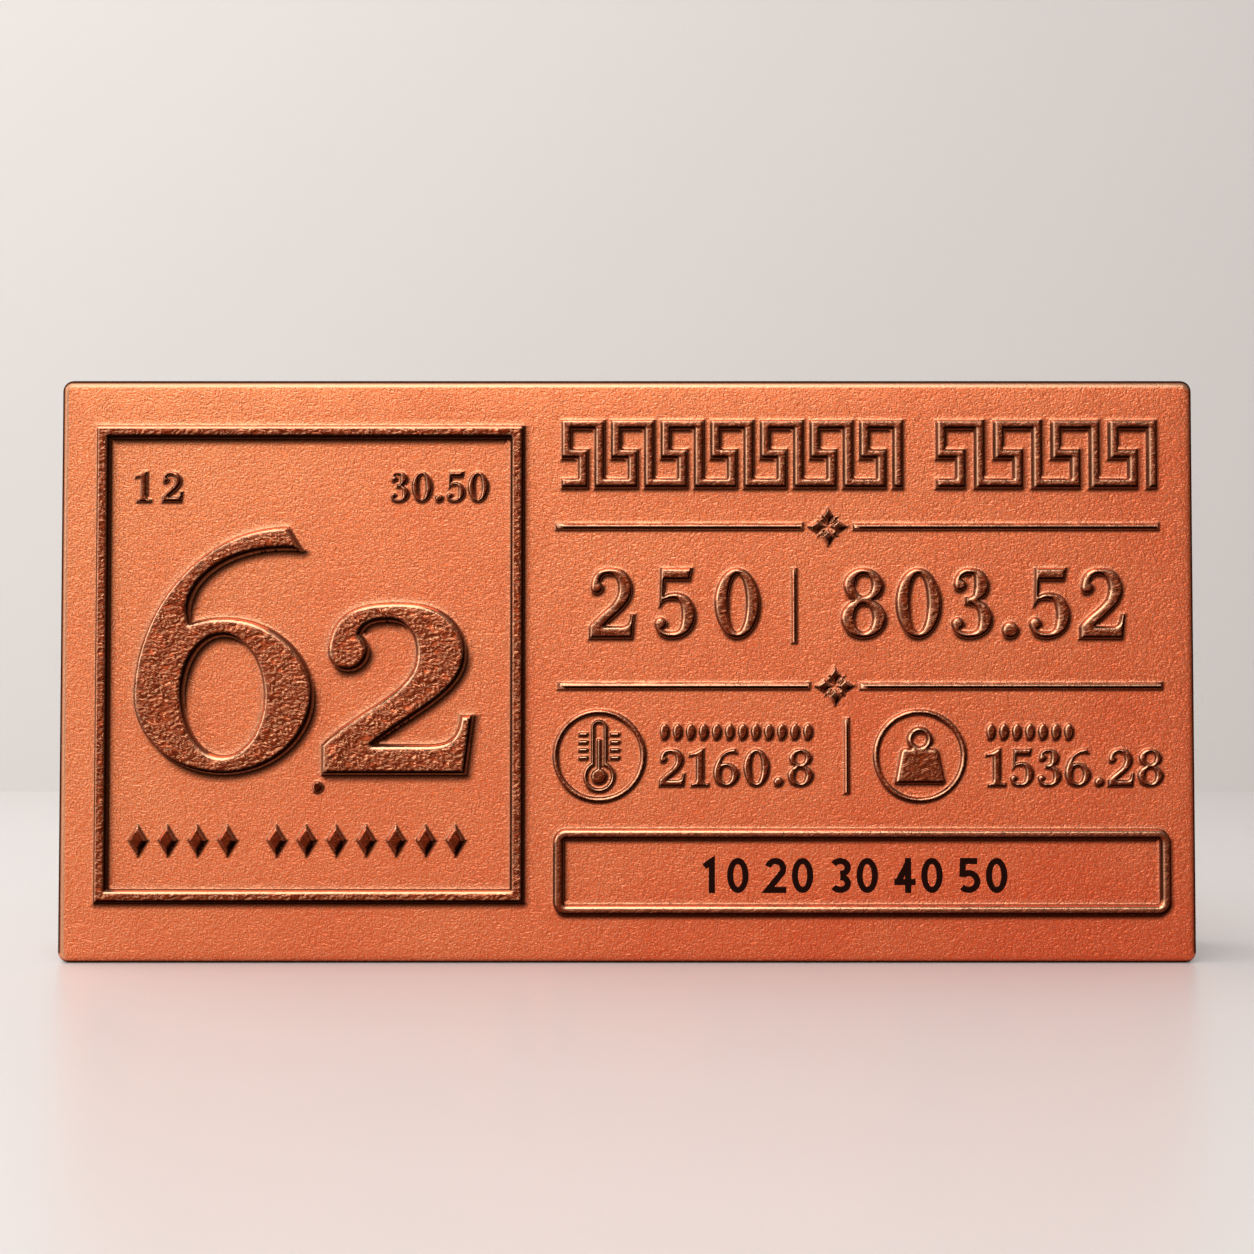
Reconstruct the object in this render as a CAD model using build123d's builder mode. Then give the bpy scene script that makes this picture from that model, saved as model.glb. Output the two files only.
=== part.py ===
from build123d import *

import os
from math import cos, radians, sin

# A struck copper ingot of one kilogram, standing on its long edge. It is one
# solid: a slab with rounded corners and edges, and a design raised on the
# face at -Y. +X runs along the slab, +Y goes to its plain back, +Z is up, and
# the origin is the middle of the edge that it stands on. Sizes are in mm.

# Slab
length = 114.0
height = 58.5
slab_thickness = 16.7
corner_radius = 1.1
edge_radius = 0.9

# How far each part of the design stands up from the field
numeral_relief = 1.2
tile_relief = 0.9
key_relief = 0.8
cartouche_relief = 0.8
rosette_relief = 0.6
ring_relief = 0.45
rule_relief = 0.45

# Draft angle of the frames, rules and rings in degrees, and the bevel along the key pattern
draft = 12.0
key_bevel = 0.2

# Square frame on the left, the tile
tile_side_margin = 3.8
tile_top_margin = 4.7
tile_bottom_margin = 6.1
tile_width = 42.8
tile_bar = 1.25

# Two large numerals in the tile
numeral_margin = 3.9
numeral_foot = 12.8
numeral_gap = 0.9
tall_numeral_width = 17.9
tall_numeral_height = 24.7
tall_numeral_bowl = 15.6
short_numeral_width = 15.1
short_numeral_height = 17.1
numeral_thick = 4.9
numeral_thin = 1.8
numeral_ball = 4.0

# Where the stroke of the 6 leaves its bowl, in degrees round the bowl
joint_angle = 112.0

# Small boss under the numerals
boss_diameter = 0.9
boss_drop = 1.3

# Column on the right, from the tile to the far edge of the slab
column_gap = 3.05
column_margin = 2.8

# Key pattern at the head of the column, in two groups of turns
key_top_margin = 4.1
key_height = 6.85
key_stroke = 0.95
key_inset = 0.8
key_gap = 3.4
first_key_width = 34.2
first_key_turns = 7
second_key_width = 22.1
second_key_turns = 4

# Two rules, each broken by a rosette
rule_width = 0.6
rule_inset = 0.4
upper_rule_drop = 14.7
lower_rule_drop = 30.8
rosette_clearance = 0.45
upper_rosette_place = 27.9
lower_rosette_place = 28.5
petal_reach = 2.0
petal_width = 1.05
leaf_reach = 1.25
leaf_width = 0.45

# Upright dividers, one between the rules and one between the rings
divider_width = 0.5
divider_height = 7.5
upper_divider_place = 24.55
lower_divider_place = 29.3

# Rings round the two pictograms
ring_diameter = 9.3
ring_bar = 0.5
ring_height = 20.7
left_ring_place = 4.55
right_ring_place = 36.6

# Cartouche at the foot of the column
cartouche_foot = 4.85
cartouche_height = 8.55
cartouche_bar = 1.0
cartouche_radius = 1.3

# Places that follow from the sizes above
overall_thickness = slab_thickness + numeral_relief
field_y = numeral_relief - overall_thickness / 2
field = Plane(origin=(0, field_y, 0), x_dir=(1, 0, 0), z_dir=(0, -1, 0))

tile_left = -length / 2 + tile_side_margin
tile_right = tile_left + tile_width
tile_height = height - tile_top_margin - tile_bottom_margin
tile_center = ((tile_left + tile_right) / 2, tile_bottom_margin + tile_height / 2)
numeral_left = tile_left + numeral_margin
numeral_base = tile_bottom_margin + numeral_foot
short_numeral_left = numeral_left + tall_numeral_width + numeral_gap

column_left = tile_right + column_gap
column_right = length / 2 - column_margin
column_center = (column_left + column_right) / 2
key_left = column_left + key_inset
key_foot = height - key_top_margin - key_height
upper_rule_height = height - upper_rule_drop
lower_rule_height = height - lower_rule_drop
figures_height = (upper_rule_height + lower_rule_height) / 2


def tall_six(width, tall, bowl, thick, thin):
    """Numeral 6, its foot on the X axis and its left side on the Y axis."""
    side = (0, bowl / 2)
    joint_x = width / 2 + width / 2 * cos(radians(joint_angle))
    joint_y = bowl / 2 + bowl / 2 * sin(radians(joint_angle))
    neck = tall - joint_y
    shoulder = (0.86 * width, tall)
    lip = (0.94 * width, tall - 1.3 * thin)
    with BuildSketch() as six:
        with BuildLine():
            Bezier(shoulder, (0.36 * width, tall), (0, (tall + bowl / 2) / 2), side)
            EllipticalCenterArc((width / 2, bowl / 2), width / 2, bowl / 2, 180, arc_size=180 + joint_angle)
            Bezier(
                (joint_x, joint_y),
                (joint_x - 0.06 * width, joint_y + 0.45 * neck),
                (0.56 * width, joint_y + 0.84 * neck),
                lip,
            )
            Line(lip, shoulder)
        make_face()
        with Locations((width / 2, bowl / 2)):
            Ellipse(width / 2 - thick, bowl / 2 - thin, mode=Mode.SUBTRACT)
    return six.sketch


def short_two(width, tall, thick, thin, ball):
    """Numeral 2, its foot on the X axis and its left side on the Y axis."""
    right = 0.95 * width
    bend = 0.70 * tall
    inner_right = right - thick
    ball_center = (0.04 * width + ball / 2, 0.72 * tall)
    foot = 0.17 * tall
    with BuildSketch() as two:
        with BuildLine():
            Bezier((0.04 * width, 0.72 * tall), (0.06 * width, tall), (0.34 * width, tall), (0.52 * width, tall))
            Bezier((0.52 * width, tall), (0.80 * width, tall), (right, 0.88 * tall), (right, bend))
            Bezier((right, bend), (right, 0.47 * tall), (0.60 * width, 0.36 * tall), (0.34 * width, foot))
            Line((0.34 * width, foot), (0, foot))
            Bezier((0, foot), (0.26 * width, 0.40 * tall), (inner_right, 0.47 * tall), (inner_right, bend))
            Bezier(
                (inner_right, bend),
                (inner_right, 0.86 * tall),
                (0.52 * width, tall - thin),
                (0.44 * width, tall - thin),
            )
            Bezier(
                (0.44 * width, tall - thin),
                (0.30 * width, tall - thin),
                (0.24 * width, 0.86 * tall),
                (0.24 * width, 0.72 * tall),
            )
            Line((0.24 * width, 0.72 * tall), (0.04 * width, 0.72 * tall))
        make_face()
        with Locations(ball_center):
            Circle(ball / 2)
        with BuildLine():
            Polyline((0, foot), (0, 0), (0.95 * width, 0), (width, 0.34 * tall), (0.92 * width, 0.34 * tall))
            Bezier((0.92 * width, 0.34 * tall), (0.90 * width, foot), (0.80 * width, foot), (0.66 * width, foot))
            Line((0.66 * width, foot), (0, foot))
        make_face()
    return two.sketch


def key_band(width, turns):
    """Running key pattern that turns to the left, its foot on the X axis and its left side on the Y axis."""
    column_pitch = (width - key_stroke) / (3 * turns - 1)
    row_pitch = (key_height - key_stroke) / 2
    turn = [(0, 0), (0, 2), (2, 2), (2, 1), (1, 1), (1, 0)]
    steps = [(column + 3 * index, row) for index in range(turns) for column, row in turn]
    steps.append((3 * turns - 1, 0))
    route = [
        (width - key_stroke / 2 - column * column_pitch, key_stroke / 2 + row * row_pitch)
        for column, row in steps
    ]
    with BuildSketch() as band:
        with BuildLine():
            Polyline(*route)
            offset(amount=key_stroke / 2, kind=Kind.INTERSECTION)
        make_face()
    return band.sketch


def rosette():
    """Four pointed petals along the axes and four narrow leaves between them."""
    with BuildSketch() as flower:
        with PolarLocations(petal_reach / 2, 4):
            Polygon((-petal_reach / 2, 0), (0, -petal_width / 2), (petal_reach / 2, 0), (0, petal_width / 2))
        with PolarLocations(leaf_reach / 2, 4, start_angle=45):
            Polygon((-leaf_reach / 2, 0), (0, -leaf_width / 2), (leaf_reach / 2, 0), (0, leaf_width / 2))
    return flower.sketch


def broken_rule(place, level):
    """Pieces of a rule on either side of the rosette, as centres and lengths."""
    rosette_x = column_left + place
    left_start = column_left + rule_inset
    left_end = rosette_x - petal_reach - rosette_clearance
    right_start = rosette_x + petal_reach + rosette_clearance
    right_end = column_right
    return [
        ((left_start + left_end) / 2, level, left_end - left_start),
        ((right_start + right_end) / 2, level, right_end - right_start),
    ]


with BuildPart() as numerals:
    with BuildSketch(field):
        with Locations((numeral_left, numeral_base)):
            add(tall_six(tall_numeral_width, tall_numeral_height, tall_numeral_bowl, numeral_thick, numeral_thin))
        with Locations((short_numeral_left, numeral_base)):
            add(short_two(short_numeral_width, short_numeral_height, numeral_thick, numeral_thin, numeral_ball))
    extrude(amount=numeral_relief)

with BuildPart() as key_pattern:
    with BuildSketch(field):
        with Locations((key_left, key_foot)):
            add(key_band(first_key_width, first_key_turns))
        with Locations((key_left + first_key_width + key_gap, key_foot)):
            add(key_band(second_key_width, second_key_turns))
    extrude(amount=key_relief)
    tops = key_pattern.faces().group_by(Axis.Y)[0]
    chamfer(tops.edges(), key_bevel)

with BuildPart() as ingot:
    # Slab, with its corners and both outlines rounded
    with BuildSketch(field):
        with Locations((0, height / 2)):
            RectangleRounded(length, height, corner_radius)
    extrude(amount=-slab_thickness)
    front_and_back = ingot.faces().filter_by(Axis.Y)
    fillet(front_and_back.edges(), edge_radius)

    # Square frame of the tile
    with BuildSketch(field):
        with Locations(tile_center):
            Rectangle(tile_width, tile_height)
            Rectangle(tile_width - 2 * tile_bar, tile_height - 2 * tile_bar, mode=Mode.SUBTRACT)
    extrude(amount=tile_relief, taper=draft)

    # Rules and dividers
    with BuildSketch(field):
        rules = broken_rule(upper_rosette_place, upper_rule_height)
        rules += broken_rule(lower_rosette_place, lower_rule_height)
        for middle, level, reach in rules:
            with Locations((middle, level)):
                Rectangle(reach, rule_width)
        with Locations(
            (column_left + upper_divider_place, figures_height),
            (column_left + lower_divider_place, ring_height),
        ):
            Rectangle(divider_width, divider_height)
    extrude(amount=rule_relief, taper=draft)

    # Rosettes
    with BuildSketch(field):
        with Locations(
            (column_left + upper_rosette_place, upper_rule_height),
            (column_left + lower_rosette_place, lower_rule_height),
        ):
            add(rosette())
    extrude(amount=rosette_relief)

    # Rings, and the boss under the numerals
    with BuildSketch(field):
        with Locations(
            (column_left + left_ring_place, ring_height),
            (column_left + right_ring_place, ring_height),
        ):
            Circle(ring_diameter / 2)
            Circle(ring_diameter / 2 - ring_bar, mode=Mode.SUBTRACT)
        with Locations((short_numeral_left - numeral_gap / 2, numeral_base - boss_drop)):
            Circle(boss_diameter / 2)
    extrude(amount=ring_relief, taper=draft)

    # Cartouche
    with BuildSketch(field):
        with Locations((column_center, cartouche_foot + cartouche_height / 2)):
            cartouche_width = column_right - column_left
            RectangleRounded(cartouche_width, cartouche_height, cartouche_radius)
            RectangleRounded(
                cartouche_width - 2 * cartouche_bar,
                cartouche_height - 2 * cartouche_bar,
                cartouche_radius - cartouche_bar,
                mode=Mode.SUBTRACT,
            )
    extrude(amount=cartouche_relief, taper=draft)

    # Numerals and key pattern, struck in one with the slab
    add(numerals.part)
    add(key_pattern.part)

ingot.part.label = "copper_ingot"
os.makedirs("parts", exist_ok=True)
export_step(ingot.part, "parts/copper_ingot.step")
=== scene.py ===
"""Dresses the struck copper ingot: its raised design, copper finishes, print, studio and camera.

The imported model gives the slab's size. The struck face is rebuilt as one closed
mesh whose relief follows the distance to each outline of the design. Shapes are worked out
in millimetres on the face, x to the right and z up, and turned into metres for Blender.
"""

import logging
import math
from dataclasses import dataclass, field
from enum import Enum

import bpy
import numpy as np
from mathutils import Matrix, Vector, noise
from mathutils.geometry import delaunay_2d_cdt


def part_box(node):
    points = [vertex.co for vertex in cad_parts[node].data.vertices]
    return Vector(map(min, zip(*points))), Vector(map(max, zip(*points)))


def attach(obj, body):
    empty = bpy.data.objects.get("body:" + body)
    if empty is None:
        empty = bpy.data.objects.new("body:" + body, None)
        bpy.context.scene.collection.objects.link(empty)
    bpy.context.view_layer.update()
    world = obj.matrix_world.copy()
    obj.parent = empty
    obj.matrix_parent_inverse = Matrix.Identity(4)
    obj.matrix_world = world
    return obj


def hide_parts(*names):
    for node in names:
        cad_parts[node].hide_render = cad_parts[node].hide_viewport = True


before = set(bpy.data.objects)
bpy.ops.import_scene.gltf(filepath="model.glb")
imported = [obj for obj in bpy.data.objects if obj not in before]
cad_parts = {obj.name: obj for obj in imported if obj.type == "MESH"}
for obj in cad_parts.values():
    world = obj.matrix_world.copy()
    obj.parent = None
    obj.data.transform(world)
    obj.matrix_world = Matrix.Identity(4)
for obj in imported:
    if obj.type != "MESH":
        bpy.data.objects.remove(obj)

logging.basicConfig(level=logging.INFO, format="%(message)s")
log = logging.getLogger("ingot")

MM = 0.001
NODE = "copper_ingot"
BODY = "root"
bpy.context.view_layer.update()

Point = tuple[float, float]
Loop = np.ndarray
Socket = bpy.types.NodeSocket


def ramp(values: np.ndarray, start: float, end: float) -> np.ndarray:
    """Returns shares that go from 0 at the start value to 1 at the end value."""
    return np.clip((values - start) / (end - start), 0, 1)


def arc_points(center: Point, radii: Point, start: float, sweep: float, count: int) -> list[Point]:
    """Returns points along an arc of an ellipse, from the start angle through the sweep, in degrees."""
    angles = np.radians(np.linspace(start, start + sweep, count + 1))
    return [(center[0] + radii[0] * math.cos(a), center[1] + radii[1] * math.sin(a)) for a in angles]


class Pen:
    """Draws one closed outline out of lines, Bezier curves and arcs."""

    def __init__(self, *start: Point, step: float = 0.3) -> None:
        """Starts the outline.

        Args:
            start: The first corners, in mm.
            step: How far apart the points of a curve are, in mm.
        """
        self.points: list[Point] = list(start)
        self.step = step

    def line(self, *corners: Point) -> "Pen":
        """Goes straight to each corner in turn, and returns the pen."""
        self.points.extend(corners)
        return self

    def curve(self, first: Point, second: Point, end: Point) -> "Pen":
        """Follows a cubic Bezier curve.

        Args:
            first: Control point that the curve leaves towards.
            second: Control point that it comes in from.
            end: Its last point.

        Returns:
            The pen.
        """
        hull = np.array([self.points[-1], first, second, end], float)
        reach = np.linalg.norm(np.diff(hull, axis=0), axis=1).sum()
        count = max(3, math.ceil(reach / self.step))
        for t in np.linspace(0, 1, count + 1)[1:]:
            weights = np.array([(1 - t) ** 3, 3 * t * (1 - t) ** 2, 3 * t**2 * (1 - t), t**3])
            self.points.append(tuple(weights @ hull))
        return self

    def arc(self, center: Point, radii: Point, start: float, sweep: float) -> "Pen":
        """Follows an arc of an ellipse.

        Args:
            center: Middle of the ellipse.
            radii: Its half width and half height.
            start: Angle of the first point, in degrees.
            sweep: Angle turned through, in degrees, positive against the clock.

        Returns:
            The pen.
        """
        reach = math.radians(abs(sweep)) * max(radii)
        count = max(3, math.ceil(reach / self.step), math.ceil(abs(sweep) / 15))
        self.points.extend(arc_points(center, radii, start, sweep, count))
        return self

    def loop(self) -> Loop:
        """Returns the outline against the clock, without points that repeat."""
        points = np.array(self.points, float)
        keep = np.linalg.norm(points - np.roll(points, 1, axis=0), axis=1) > 1e-4
        points = points[keep]
        return points if signed_area(points) > 0 else points[::-1]


def signed_area(loop: Loop) -> float:
    """Returns the area inside a loop, positive where it runs against the clock."""
    x, z = loop.T
    return 0.5 * float(x @ np.roll(z, -1) - z @ np.roll(x, -1))


def ellipse(x: float, z: float, half_width: float, half_height: float, step: float = 0.3) -> Loop:
    """Returns an ellipse round (x, z)."""
    return Pen(step=step).arc((x, z), (half_width, half_height), 0, 360).loop()


def rectangle(left: float, low: float, right: float, high: float, radius: float = 0.0) -> Loop:
    """Returns a rectangle whose corners are rounded to the radius, if it has one."""
    if radius <= 0:
        return Pen((left, low), (right, low), (right, high), (left, high)).loop()
    pen = Pen(step=0.2)
    corners = [(right, high), (left, high), (left, low), (right, low)]
    inward = [(-1, -1), (1, -1), (1, 1), (-1, 1)]
    for index, ((x, z), (across, up)) in enumerate(zip(corners, inward)):
        pen.arc((x + across * radius, z + up * radius), (radius, radius), 90 * index, 90)
    return pen.loop()


def band(route: list[Point], width: float) -> Loop:
    """Draws a bar of even width along a route, with square ends and mitred corners.

    Args:
        route: Middle line of the bar.
        width: Its width.

    Returns:
        The bar's outline.
    """
    points = np.array(route, float)
    along = np.diff(points, axis=0)
    along /= np.linalg.norm(along, axis=1)[:, None]
    before = np.vstack([along[:1], along])
    after = np.vstack([along, along[-1:]])
    side = np.column_stack([-(before + after)[:, 1], (before + after)[:, 0]])
    side /= (1 + (before * after).sum(1))[:, None]
    corners = np.vstack([points + side * width / 2, (points - side * width / 2)[::-1]])
    return Pen(*map(tuple, corners)).loop()


@dataclass
class Blank:
    """Flat shape of one raised form: the areas it is made of and the areas cut out of them."""

    adds: list[Loop]
    cuts: list[Loop] = field(default_factory=list)

    def placed(self, x: float, z: float, scale: float = 1.0) -> "Blank":
        """Returns the shape scaled about its origin and moved to (x, z)."""
        shift = np.array([x, z])
        return Blank([a * scale + shift for a in self.adds], [c * scale + shift for c in self.cuts])

    def joined(self, other: "Blank") -> "Blank":
        """Returns this shape and another as one."""
        return Blank(self.adds + other.adds, self.cuts + other.cuts)

    def outlines(self) -> list[Loop]:
        """Joins the added areas and takes the cut ones out.

        Returns:
            The outlines of what is left, each with the solid on its left.
        """
        coords: list[Vector] = []
        faces: list[list[int]] = []
        for loop in self.adds + self.cuts:
            faces.append(list(range(len(coords), len(coords) + len(loop))))
            coords.extend(Vector(p) for p in loop)
        found, _, triangles, _, _, owners = delaunay_2d_cdt(coords, [], faces, 1, 1e-5, True)
        halves = set()
        for triangle, inside in zip(triangles, owners):
            added = any(face < len(self.adds) for face in inside)
            if added and all(face < len(self.adds) for face in inside):
                halves.update(zip(triangle, triangle[1:] + triangle[:1]))
        following = {start: end for start, end in halves if (end, start) not in halves}
        loops = []
        while following:
            start, at = following.popitem()
            ring = [start]
            while at != start and at in following:
                ring.append(at)
                at = following.pop(at)
            if len(ring) > 2:
                loops.append(np.array([found[i][:] for i in ring]))
        return loops


def distance_to(points: np.ndarray, loops: list[Loop]) -> tuple[np.ndarray, np.ndarray]:
    """Measures how far points are from a shape's outline.

    Args:
        points: Places on the face, one row each.
        loops: Outlines with the solid on their left.

    Returns:
        The distance, negative inside the shape, and the direction away from it.
    """
    starts = np.vstack(loops)
    ends = np.vstack([np.roll(loop, -1, axis=0) for loop in loops])
    spans = ends - starts
    squares = (spans**2).sum(1)
    distances = np.empty(len(points))
    away = np.empty((len(points), 2))
    rows = max(1, 1_500_000 // len(starts))
    for low in range(0, len(points), rows):
        some = points[low : low + rows]
        offsets = some[:, None] - starts[None]
        share = np.clip((offsets * spans).sum(2) / squares, 0, 1)
        gaps = offsets - share[:, :, None] * spans
        lengths = (gaps**2).sum(2)
        nearest = lengths.argmin(1)
        picked = np.arange(len(some)), nearest
        reach = np.sqrt(lengths[picked])
        above = starts[None, :, 1] > some[:, None, 1]
        crosses = above != (ends[None, :, 1] > some[:, None, 1])
        slope = spans[:, 0] / np.where(spans[:, 1] == 0, 1, spans[:, 1])
        at_x = starts[:, 0] + (some[:, None, 1] - starts[:, 1]) * slope
        inside = (crosses & (some[:, None, 0] < at_x)).sum(1) % 2 == 1
        sign = np.where(inside, -1.0, 1.0)
        distances[low : low + rows] = sign * reach
        away[low : low + rows] = sign[:, None] * gaps[picked] / np.maximum(reach, 1e-6)[:, None]
    return distances, away


@dataclass(frozen=True)
class Strike:
    """How one kind of form was struck, in mm.

    Its height, the width of its side, bevel and foot, and how deep its top is beaten. The gleam says
    how far up the bevel the painted highlight reaches, the film how brown the oxide on top is, and past
    1 how much painted shade blackens it, and the seam how black the painted shade line at its foot is, as
    shares.
    """

    height: float
    side: float = 0.14
    crown: float = 0.32
    crown_drop: float = 0.24
    foot: float = 0.85
    foot_rise: float = 0.07
    beaten: float = 0.0
    step: float = 0.34
    gleam: float = 0.95
    film: float = 0.0
    seam: float = 0.6

    def rows(self) -> list[float]:
        """Returns the distances from the outline at which the mesh gets a row of points."""
        outside = [share * self.foot for share in (1, 0.45, 0.16, 0)]
        return outside + [-(self.side + share * self.crown) for share in (0, 0.3, 0.65, 1)]

    def rise(self, distance: np.ndarray) -> np.ndarray:
        """Gives the height over the field at each distance from the outline.

        Args:
            distance: Distances in mm, negative inside the form.

        Returns:
            Heights in mm, before the top is beaten.
        """
        foot = self.foot_rise * np.clip(1 - distance / self.foot, 0, 1) ** 3
        shoulder = self.height - self.crown_drop
        side = self.foot_rise + (shoulder - self.foot_rise) * np.clip(-distance / self.side, 0, 1)
        rounding = np.clip((-distance - self.side) / self.crown, 0, 1)
        crown = self.crown_drop * (1 - (1 - rounding) ** 1.25)
        return np.where(distance >= 0, foot, side + crown)


@dataclass
class Form:
    """One raised form of the design: its outlines and how it was struck."""

    name: str
    blank: Blank
    strike: Strike

    def __post_init__(self) -> None:
        """Works out the outlines and divides their long edges into steps."""
        self.loops = [self.stepped(loop) for loop in self.blank.outlines()]
        corners = np.vstack(self.loops)
        self.low = corners.min(0) - 1.1 * self.strike.foot
        self.high = corners.max(0) + 1.1 * self.strike.foot

    def stepped(self, loop: Loop) -> Loop:
        """Returns the loop with points added so that no edge is longer than the step."""
        points = []
        for start, end in zip(loop, np.roll(loop, -1, axis=0)):
            pieces = max(1, math.ceil(np.linalg.norm(end - start) / self.strike.step))
            points.extend(start + (end - start) * k / pieces for k in range(pieces))
        return np.array(points)

    def near(self, points: np.ndarray) -> np.ndarray:
        """Tells which points are near enough for the form to matter."""
        return ((points > self.low) & (points < self.high)).all(1)

    def row(self, loop: Loop, distance: float) -> np.ndarray:
        """Places a row of points at a distance from one outline.

        Args:
            loop: The outline.
            distance: How far outside it the row runs, negative for inside.

        Returns:
            The points in order. Sharp corners have a mitre on their inner side and a fan on the outer one.
        """
        into = loop - np.roll(loop, 1, axis=0)
        out = np.roll(into, -1, axis=0)
        into = into / np.linalg.norm(into, axis=1)[:, None]
        out = out / np.linalg.norm(out, axis=1)[:, None]
        first = np.column_stack([into[:, 1], -into[:, 0]])
        second = np.column_stack([out[:, 1], -out[:, 0]])
        turn = into[:, 0] * out[:, 1] - into[:, 1] * out[:, 0]
        cosine = np.clip((first * second).sum(1), -1, 1)
        points = []
        for corner, one, two, bend, straight in zip(loop, first, second, turn, cosine):
            if straight > 0.9 or (bend > 0) != (distance > 0) or distance == 0:
                points.append(corner + distance * (one + two) / max(1 + straight, 0.1))
                continue
            angle = math.atan2(one[1], one[0])
            sweep = math.copysign(math.acos(straight), bend)
            count = max(2, math.ceil(abs(sweep * distance) / self.strike.step), math.ceil(abs(sweep) / 0.5))
            for turned in np.linspace(angle, angle + sweep, count + 1):
                points.append(corner + distance * np.array([math.cos(turned), math.sin(turned)]))
        return np.array(points)


@dataclass(frozen=True)
class Roman:
    """Roman numerals with thick upright and thin level strokes, in mm."""

    tall: float
    thick: float
    thin: float
    slim: float = 0.66
    gap: float = 0.11
    step: float = 0.3

    def write(self, text: str, left: float, base: float, width: float | None = None) -> Blank:
        """Sets a line of numerals.

        Args:
            text: The numerals.
            left: Left end of the line.
            base: Height of its foot.
            width: Length that the line is spread over, if it has one.

        Returns:
            The line as one blank.
        """
        signs = [self.sign(letter) for letter in text]
        widths = [advance for _, advance in signs]
        space = self.gap * self.tall
        if width is not None and len(signs) > 1:
            space = (width - sum(widths)) / (len(signs) - 1)
        line = Blank([])
        for blank, advance in signs:
            line = line.joined(blank.placed(left, base))
            left += advance + space
        return line

    def sign(self, letter: str) -> tuple[Blank, float]:
        """Returns one numeral and its width."""
        draw = {
            "0": self.zero, "1": self.one, "2": self.two, "3": self.three,
            "5": self.five, "6": self.six, "8": self.eight, ".": self.stop,
        }
        return draw[letter]()

    def zero(self) -> tuple[Blank, float]:
        """Draws 0 as a ring that is thick at its sides."""
        w, t = self.slim * self.tall, self.tall
        ring = ellipse(w / 2, t / 2, w / 2, t / 2, self.step)
        counter = ellipse(w / 2, t / 2, w / 2 - self.thick, t / 2 - self.thin, self.step)
        return Blank([ring], [counter]), w

    def one(self) -> tuple[Blank, float]:
        """Draws 1 as a stem with a flag and a bracketed foot."""
        w, t, thin = 0.52 * self.tall, self.tall, self.thin
        middle, half, foot = 0.54 * w, self.thick / 2, 0.44 * w
        left, right = middle - half, middle + half
        pen = Pen((middle - foot, 0), (middle + foot, 0), (middle + foot, 0.8 * thin), step=self.step)
        pen.curve((right, thin), (right, 1.4 * thin), (right, 2.6 * thin))
        pen.line((right, t), (middle + 0.2 * half, t))
        pen.curve((0.4 * w, 0.93 * t), (0.2 * w, 0.89 * t), (0, 0.87 * t))
        pen.line((0, 0.80 * t))
        pen.curve((0.14 * w, 0.81 * t), (left, 0.84 * t), (left, 0.76 * t))
        pen.line((left, 2.6 * thin))
        pen.curve((left, 1.4 * thin), (left, thin), (middle - foot, 0.8 * thin))
        return Blank([pen.loop()]), w

    def two(self) -> tuple[Blank, float]:
        """Draws 2 as a hook with a ball and a swelling foot."""
        w = self.slim * self.tall
        return Blank(two_shape(w, self.tall, self.thick, self.thin, 0.9 * self.thick, self.step)), w

    def three(self) -> tuple[Blank, float]:
        """Draws 3 as two bowls that end in balls."""
        w, t, thick, thin = 0.92 * self.slim * self.tall, self.tall, self.thick, self.thin
        ball = 0.45 * thick
        upper, lower = 0.90 * w - thick, w - thick
        pen = Pen((0.08 * w, 0.76 * t), step=self.step)
        pen.curve((0.10 * w, 0.93 * t), (0.26 * w, t), (0.46 * w, t))
        pen.curve((0.74 * w, t), (0.92 * w, 0.91 * t), (0.92 * w, 0.76 * t))
        pen.curve((0.92 * w, 0.65 * t), (0.82 * w, 0.57 * t), (0.68 * w, 0.54 * t))
        pen.curve((0.86 * w, 0.51 * t), (w, 0.42 * t), (w, 0.28 * t))
        pen.curve((w, 0.10 * t), (0.76 * w, 0), (0.44 * w, 0))
        self.hook(pen, w)
        pen.curve((0.62 * w, thin), (lower, 0.12 * t), (lower, 0.27 * t))
        pen.curve((lower, 0.42 * t), (0.58 * w, 0.49 * t), (0.36 * w, 0.49 * t))
        pen.line((0.36 * w, 0.49 * t + thin))
        pen.curve((0.56 * w, 0.49 * t + thin), (upper, 0.63 * t), (upper, 0.76 * t))
        pen.curve((upper, 0.89 * t), (0.60 * w, t - thin), (0.46 * w, t - thin))
        pen.curve((0.32 * w, t - thin), (0.23 * w, 0.90 * t), (0.22 * w, 0.76 * t))
        balls = [ellipse(x * w + ball, z * t, ball, ball) for x, z in ((0.08, 0.76), (0.02, 0.21))]
        return Blank([pen.loop(), *balls]), w

    def hook(self, pen: Pen, w: float) -> None:
        """Draws the hook at the foot of 3 and 5, which are w wide."""
        t, thin = self.tall, self.thin
        pen.curve((0.20 * w, 0), (0.03 * w, 0.08 * t), (0.02 * w, 0.22 * t))
        pen.line((0.16 * w, 0.22 * t))
        pen.curve((0.18 * w, 0.10 * t), (0.28 * w, thin), (0.44 * w, thin))

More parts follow.
